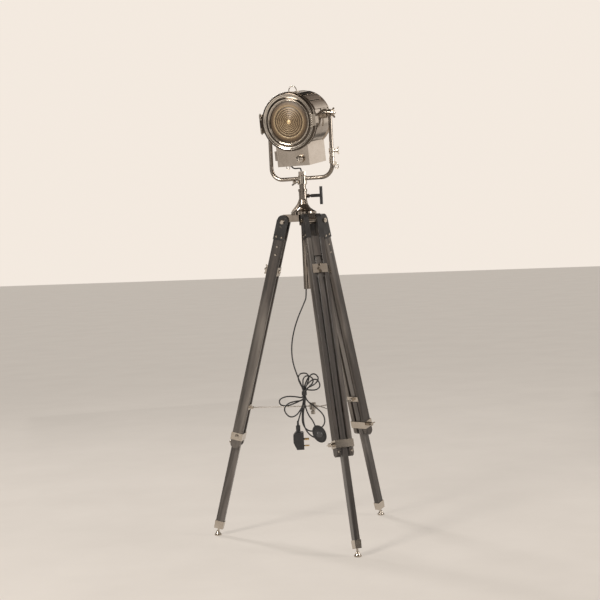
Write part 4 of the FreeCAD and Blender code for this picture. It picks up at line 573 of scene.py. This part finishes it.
def on_drum(profile, segments, closed):
    """A mesh turned about the drum's axis from (radius, y) points of the head's frame."""
    builder = bmesh.new()
    rings = []
    for radius, y in profile:
        ring = []
        for step in range(segments if radius else 1):
            angle = math.tau * step / segments
            x, z = radius * math.cos(angle), radius * math.sin(angle)
            ring.append(builder.verts.new(HEAD @ Vector((x, y, z - DRUM_DROP))))
        rings.append(ring)
    pairs = list(zip(rings, rings[1:])) + ([(rings[-1], rings[0])] if closed else [])
    for low, high in pairs:
        join_rings(builder, low, high)
    bmesh.ops.recalc_face_normals(builder, faces=builder.faces)
    return finished_mesh(builder, "turned")


def make_lens():
    """Stepped rings, each a slope that rises towards the middle, with softened crests."""
    face = DOOR_FRONT + LENS_SET_BACK
    back = face + LENS_THICKNESS
    edge = LENS_SIGHT_R + LENS_RIM
    profile = [(0, back), (edge, back), (edge, face)]
    bounds = LENS_RINGS[::-1]
    for outer, inner in zip(bounds, bounds[1:] + [0.0]):
        r_out = LENS_SIGHT_R * outer
        r_in = LENS_SIGHT_R * inner
        width = r_out - r_in
        profile += [(r_out - width * 0.04, face), (r_out - width * 0.45, face - LENS_STEP * 0.62)]
        if inner > 0:
            profile += [(r_in + width * 0.14, face - LENS_STEP),
                        (r_in + width * 0.05, face - LENS_STEP * 0.9),
                        (r_in + width * 0.02, face - LENS_STEP * 0.1)]
    profile.append((0, face - LENS_STEP))
    mesh = on_drum(profile, 128, closed=False)
    piece = smooth_piece("lens_rings", mesh, lens_glass(), "door", 1)
    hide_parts("lens")


def make_mouldings():
    """Rolled beads and coves on the front ring, and one on the bezel behind it."""
    material = turned()
    dress(material, "door_ring")
    outer = BEZEL_R + RING_PROUD
    profile = [(outer + r, DOOR_FRONT + y) for r, y in OUTER_BEAD]
    profile += [(DOOR_INNER_R + r, DOOR_FRONT + y) for r, y in LIP_BEAD]
    profile.append((outer + RING_BACK[0], DOOR_FRONT + RING_BACK[1]))
    mesh = on_drum(profile, 96, closed=True)
    smooth_piece("door_moulding", mesh, material, "door", 2)
    bead = [(BEZEL_R + BEZEL_PROUD + r, DRUM_FRONT + y) for r, y in BEZEL_BEAD]
    mesh = on_drum(bead, 96, closed=True)
    smooth_piece("bezel_bead", mesh, material, "head", 2)


# ---------------------------------------------------------------- mains lead
def neck_pass(row, side):
    """Where a run passes the neck: the rows lie one behind another, a run on each side."""
    return NECK_U + side * CORD_PITCH / 2, NECK_W - row * CORD_PITCH


def loop_points(loop, w_out, w_in):
    """An open loop out of the neck and back to it, going from one depth to another."""
    direction, reach, width, height = loop
    along = Vector((math.cos(math.radians(direction)), math.sin(math.radians(direction))))
    across = Vector((-along.y, along.x))
    shape = [(a, -b) for a, b in LOOP_SHAPE] + [(a, b) for a, b in reversed(LOOP_SHAPE)]
    points = []
    for step, (a, b) in enumerate(shape):
        share = (step + 0.5) / len(shape)
        place = along * reach * a + across * width / 2 * b
        w = w_out + (w_in - w_out) * share
        points.append(facing(NECK_U + place.x, w, height + place.y))
    return points


def switch_place(across, along):
    """A point of the leaning foot switch, from its middle."""
    u = SWITCH_U + across * math.cos(SWITCH_LEAN) - along * math.sin(SWITCH_LEAN)
    z = SWITCH_Z + across * math.sin(SWITCH_LEAN) + along * math.cos(SWITCH_LEAN)
    return facing(u, SWITCH_W, z)


def lead_points():
    """From the box under the drum into the spigot."""
    points = [AXIS + Vector((x, y, BOX_BOTTOM_HEIGHT + z)) for x, y, z in HEAD_LEAD]
    return points + [AXIS + Vector((0, 0, CORD_RISER_TOP + CORD_OVERLAP))]


def riser_points():
    """Down inside the post, out to the left, and back to the tied neck."""
    down_u, w = neck_pass(0, -1)
    points = [facing(0, 0, CORD_RISER_TOP), facing(0, 0, CORD_EXIT)] + [facing(*p) for p in DROP]
    return points + [facing(down_u, w, NECK_TOP), facing(down_u, w, TIE_Z - TIE_LAP)]


def hank_points():
    """From the tie through the loops, a lower and an upper one in each row, back to the tie."""
    down_u, w = neck_pass(0, -1)
    points = [facing(down_u, w, TIE_Z + TIE_LAP)]
    for row, (lower, upper) in enumerate(zip(LOWER_LOOPS, UPPER_LOOPS)):
        down_u, w = neck_pass(row, -1)
        up_u, _ = neck_pass(row, 1)
        if row:
            points.append(facing(down_u, w, NECK_TOP))
        points.append(facing(down_u, w, lower[-1]))
        points += loop_points(lower, w, w)
        points += [facing(up_u, w, lower[-1]), facing(up_u, w, upper[-1])]
        points += loop_points(upper, w, w - CORD_PITCH)
    down_u, w = neck_pass(SWITCH_ROW, -1)
    return points + [facing(down_u, w, NECK_TOP), facing(down_u, w, TIE_Z - TIE_LAP)]


def switch_points():
    """From the tie down into the foot switch."""
    down_u, w = neck_pass(SWITCH_ROW, -1)
    end = switch_place(0, SWITCH_LENGTH / 2 - SWITCH_SINK)
    points = [facing(down_u, w, TIE_Z + TIE_LAP), facing(down_u, w, NECK_BOTTOM)]
    return points + [facing(-0.020, w - 0.001, 0.450), end + Vector((0, 0, 0.022)) - RIGHT * 0.006, end]


def tail_points():
    """Out of the foot switch, up through the neck, round the last loop and down to the plug."""
    start = switch_place(SWITCH_SINK - SWITCH_WIDTH / 2, -SWITCH_TAIL_DOWN)
    up_u, w = neck_pass(TAIL_ROW, 1)
    down_u, _ = neck_pass(TAIL_ROW, -1)
    points = [start, start - RIGHT * 0.019 + Vector((0, 0, 0.007))]
    points += [facing(-0.034, w, 0.400), facing(-0.038, w, 0.450)]
    points += [facing(up_u, w, NECK_BOTTOM), facing(up_u, w, NECK_TOP - 0.005)]
    points += loop_points(UPPER_LOOPS[-1], w, w)
    points += [facing(down_u, w, NECK_TOP), facing(down_u, w, NECK_BOTTOM), facing(-0.046, w, 0.455)]
    return points + [facing(PLUG_U, w, 0.425), facing(PLUG_U, w, PLUG_TOP + PLUG_NECK - PLUG_LAP)]


def evaluated_mesh(curve):
    """The mesh that Blender makes of a curve."""
    holder = linked("holder", curve)
    bpy.context.view_layer.update()
    depsgraph = bpy.context.evaluated_depsgraph_get()
    mesh = bpy.data.meshes.new_from_object(holder.evaluated_get(depsgraph))
    bpy.data.objects.remove(holder)
    return mesh


def cord_mesh(name, points, material):
    """A mesh tube along the NURBS line of those points, and the points that it follows."""
    curve = bpy.data.curves.new(name, "CURVE")
    curve.dimensions = "3D"
    curve.resolution_u = 10
    spline = curve.splines.new("NURBS")
    spline.points.add(len(points) - 1)
    for target, p in zip(spline.points, points):
        target.co = (*p, 1.0)
    spline.order_u = 3
    spline.use_endpoint_u = True
    line = [v.co.copy() for v in evaluated_mesh(curve).vertices]
    curve.bevel_depth = CORD_DIAMETER / 2
    curve.bevel_resolution = 4
    curve.use_fill_caps = True
    mesh = evaluated_mesh(curve)
    for face in mesh.polygons:
        face.use_smooth = True
    mesh.materials.clear()
    mesh.materials.append(material)
    return linked(name, mesh), line


def tapered_relief(name, start, toward, length, wide, narrow, material, body):
    """A tapered sleeve with moulded ribs round a lead."""
    way = (toward - start).normalized()
    side = way.orthogonal().normalized()
    other = way.cross(side)
    builder = bmesh.new()
    rings = []
    for step in range(RELIEF_STEPS + 1):
        share = step / RELIEF_STEPS
        ribbed = step % 2 == 0 and 1 < step < RELIEF_STEPS
        radius = wide + (narrow - wide) * share + (RELIEF_RIB if ribbed else 0.0)
        middle = start + way * length * share
        ring = []
        for turn in range(RELIEF_SIDES):
            angle = math.tau * turn / RELIEF_SIDES
            around = side * math.cos(angle) + other * math.sin(angle)
            ring.append(builder.verts.new(middle + around * radius))
        rings.append(ring)
    for low, high in zip(rings, rings[1:]):
        join_rings(builder, low, high)
    builder.faces.new(rings[0])
    builder.faces.new(rings[-1])
    bmesh.ops.recalc_face_normals(builder, faces=builder.faces)
    return smooth_piece(name, finished_mesh(builder, name), material, body, 1)


def make_reliefs():
    """The sleeves where the lead leaves the box and the plug."""
    rubber = moulded("relief_black", (0.016, 0.016, 0.017), 0.48, 320.0, 0.1)
    box_exit, below = lead_points()[:2]
    at_box = tapered_relief("lead_relief", box_exit, below, 0.0205, 0.0045, 0.0029, rubber, "head")
    above, plug_end = tail_points()[-2:]
    foot = plug_end - (above - plug_end).normalized() * 0.004
    at_plug = tapered_relief("plug_relief", foot, above, 0.024, 0.0046, 0.0029, rubber, "stand")
    return at_box, at_plug


def make_cords():
    """The lead in five pieces, since the head, the legs' fold and the tie part it."""
    sleeve = moulded("cord_black", (0.014, 0.014, 0.015), 0.38, 260.0, 0.08)
    routes = {"lead_to_head": (lead_points(), "cord_lead"), "lead_riser": (riser_points(), "cord_hank"),
              "lead_hank": (hank_points(), "cord_hank"), "lead_to_switch": (switch_points(), "cord_hank"),
              "lead_tail": (tail_points(), "cord_tail")}
    pieces, lines = {}, {}
    for name, (points, node) in routes.items():
        pieces[name], lines[name] = cord_mesh(name, points, sleeve)
        if name != "lead_to_head":
            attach(pieces[name], "stand")
        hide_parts(node)
    at_box, at_plug = make_reliefs()
    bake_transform(pieces["lead_to_head"])
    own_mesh(pieces["lead_hank"])


# ---------------------------------------------------------------- floor and light
def lift_for_view(shader, color, share):
    """Part of the floor's own colour, shown to the camera and in polished metal."""
    glow = shader.node("Emission", Color=(*color, 1.0))
    path = shader.node("LightPath")
    seen = shader.node("Math", "MAXIMUM")
    shader.link(path.outputs["Is Camera Ray"], seen.inputs[0])
    shader.link(path.outputs["Is Glossy Ray"], seen.inputs[1])
    part = shader.node("Math", "MULTIPLY")
    part.inputs[1].default_value = share
    shader.link(seen.outputs[0], part.inputs[0])
    both = shader.node("MixShader")
    shader.link(part.outputs[0], both.inputs[0])
    shader.link(shader.principled.outputs["BSDF"], both.inputs[1])
    shader.link(glow.outputs["Emission"], both.inputs[2])
    shader.link(both.outputs["Shader"], shader.tree.nodes["Material Output"].inputs["Surface"])


def make_stage():
    bpy.ops.mesh.primitive_plane_add(size=FLOOR_SIZE, location=(0, 0, -FLOOR_DROP))
    floor = bpy.context.object
    floor.name = "floor"
    shader = Shader("pale_floor", (0.72, 0.67, 0.62), roughness=0.55)
    clouds = shader.noise(shader.coordinates(), 2.2, detail=5.0, roughness=0.6)
    shader.to(shader.ramp(clouds, FLOOR_TONES), "Base Color")
    lift_for_view(shader, FLOOR_SEEN, FLOOR_LIFT)
    floor.data.materials.append(shader.material)


def make_screens():
    builder = bmesh.new()
    for middle, width, bottom, top in SCREENS:
        corners = []
        for side, z in ((-1, bottom), (1, bottom), (1, top), (-1, top)):
            angle = math.radians(middle + side * width / 2) + CAMERA_AZIMUTH
            outward = Vector((math.cos(angle), math.sin(angle), 0))
            corner = AXIS + outward * SCREEN_DISTANCE + Vector((0, 0, z))
            corners.append(builder.verts.new(corner))
        builder.faces.new(corners)
    mesh = finished_mesh(builder, "screens")
    mesh.materials.append(Shader("black_cloth", (0.012, 0.010, 0.009), roughness=0.9).material)
    screens = linked("screens", mesh)
    screens.visible_camera = False
    screens.visible_diffuse = False
    screens.visible_shadow = False


def make_lights():
    for name, (place, size, power, color) in LIGHTS.items():
        data = bpy.data.lights.new(name, "AREA")
        data.shape = "RECTANGLE"
        data.size, data.size_y = size
        data.energy = power
        data.color = color
        target = AXIS + Vector((0, 0, LIGHT_TARGET))
        right, away, up = place
        light = linked(name, data)
        light.location = facing(right, away, LIGHT_TARGET + up)
        light.rotation_euler = (target - light.location).to_track_quat("-Z", "Y").to_euler()


def make_world():
    world = bpy.data.worlds.new("studio")
    world.use_nodes = True
    scene.world = world
    tree = world.node_tree
    background = tree.nodes["Background"]
    source = tree.nodes.new("ShaderNodeTexCoord")
    split = tree.nodes.new("ShaderNodeSeparateXYZ")
    ramp = tree.nodes.new("ShaderNodeValToRGB")
    fill_ramp(ramp.color_ramp, WORLD_BANDS)
    tree.links.new(source.outputs["Generated"], split.inputs["Vector"])
    tree.links.new(split.outputs["Z"], ramp.inputs["Fac"])
    tree.links.new(ramp.outputs["Color"], background.inputs["Color"])
    background.inputs["Strength"].default_value = 1.0
    scene.view_settings.view_transform = "Standard"


make_camera()
make_cords()
dress_nodes()
make_lens()
make_mouldings()
make_stage()
make_screens()
make_lights()
make_world()
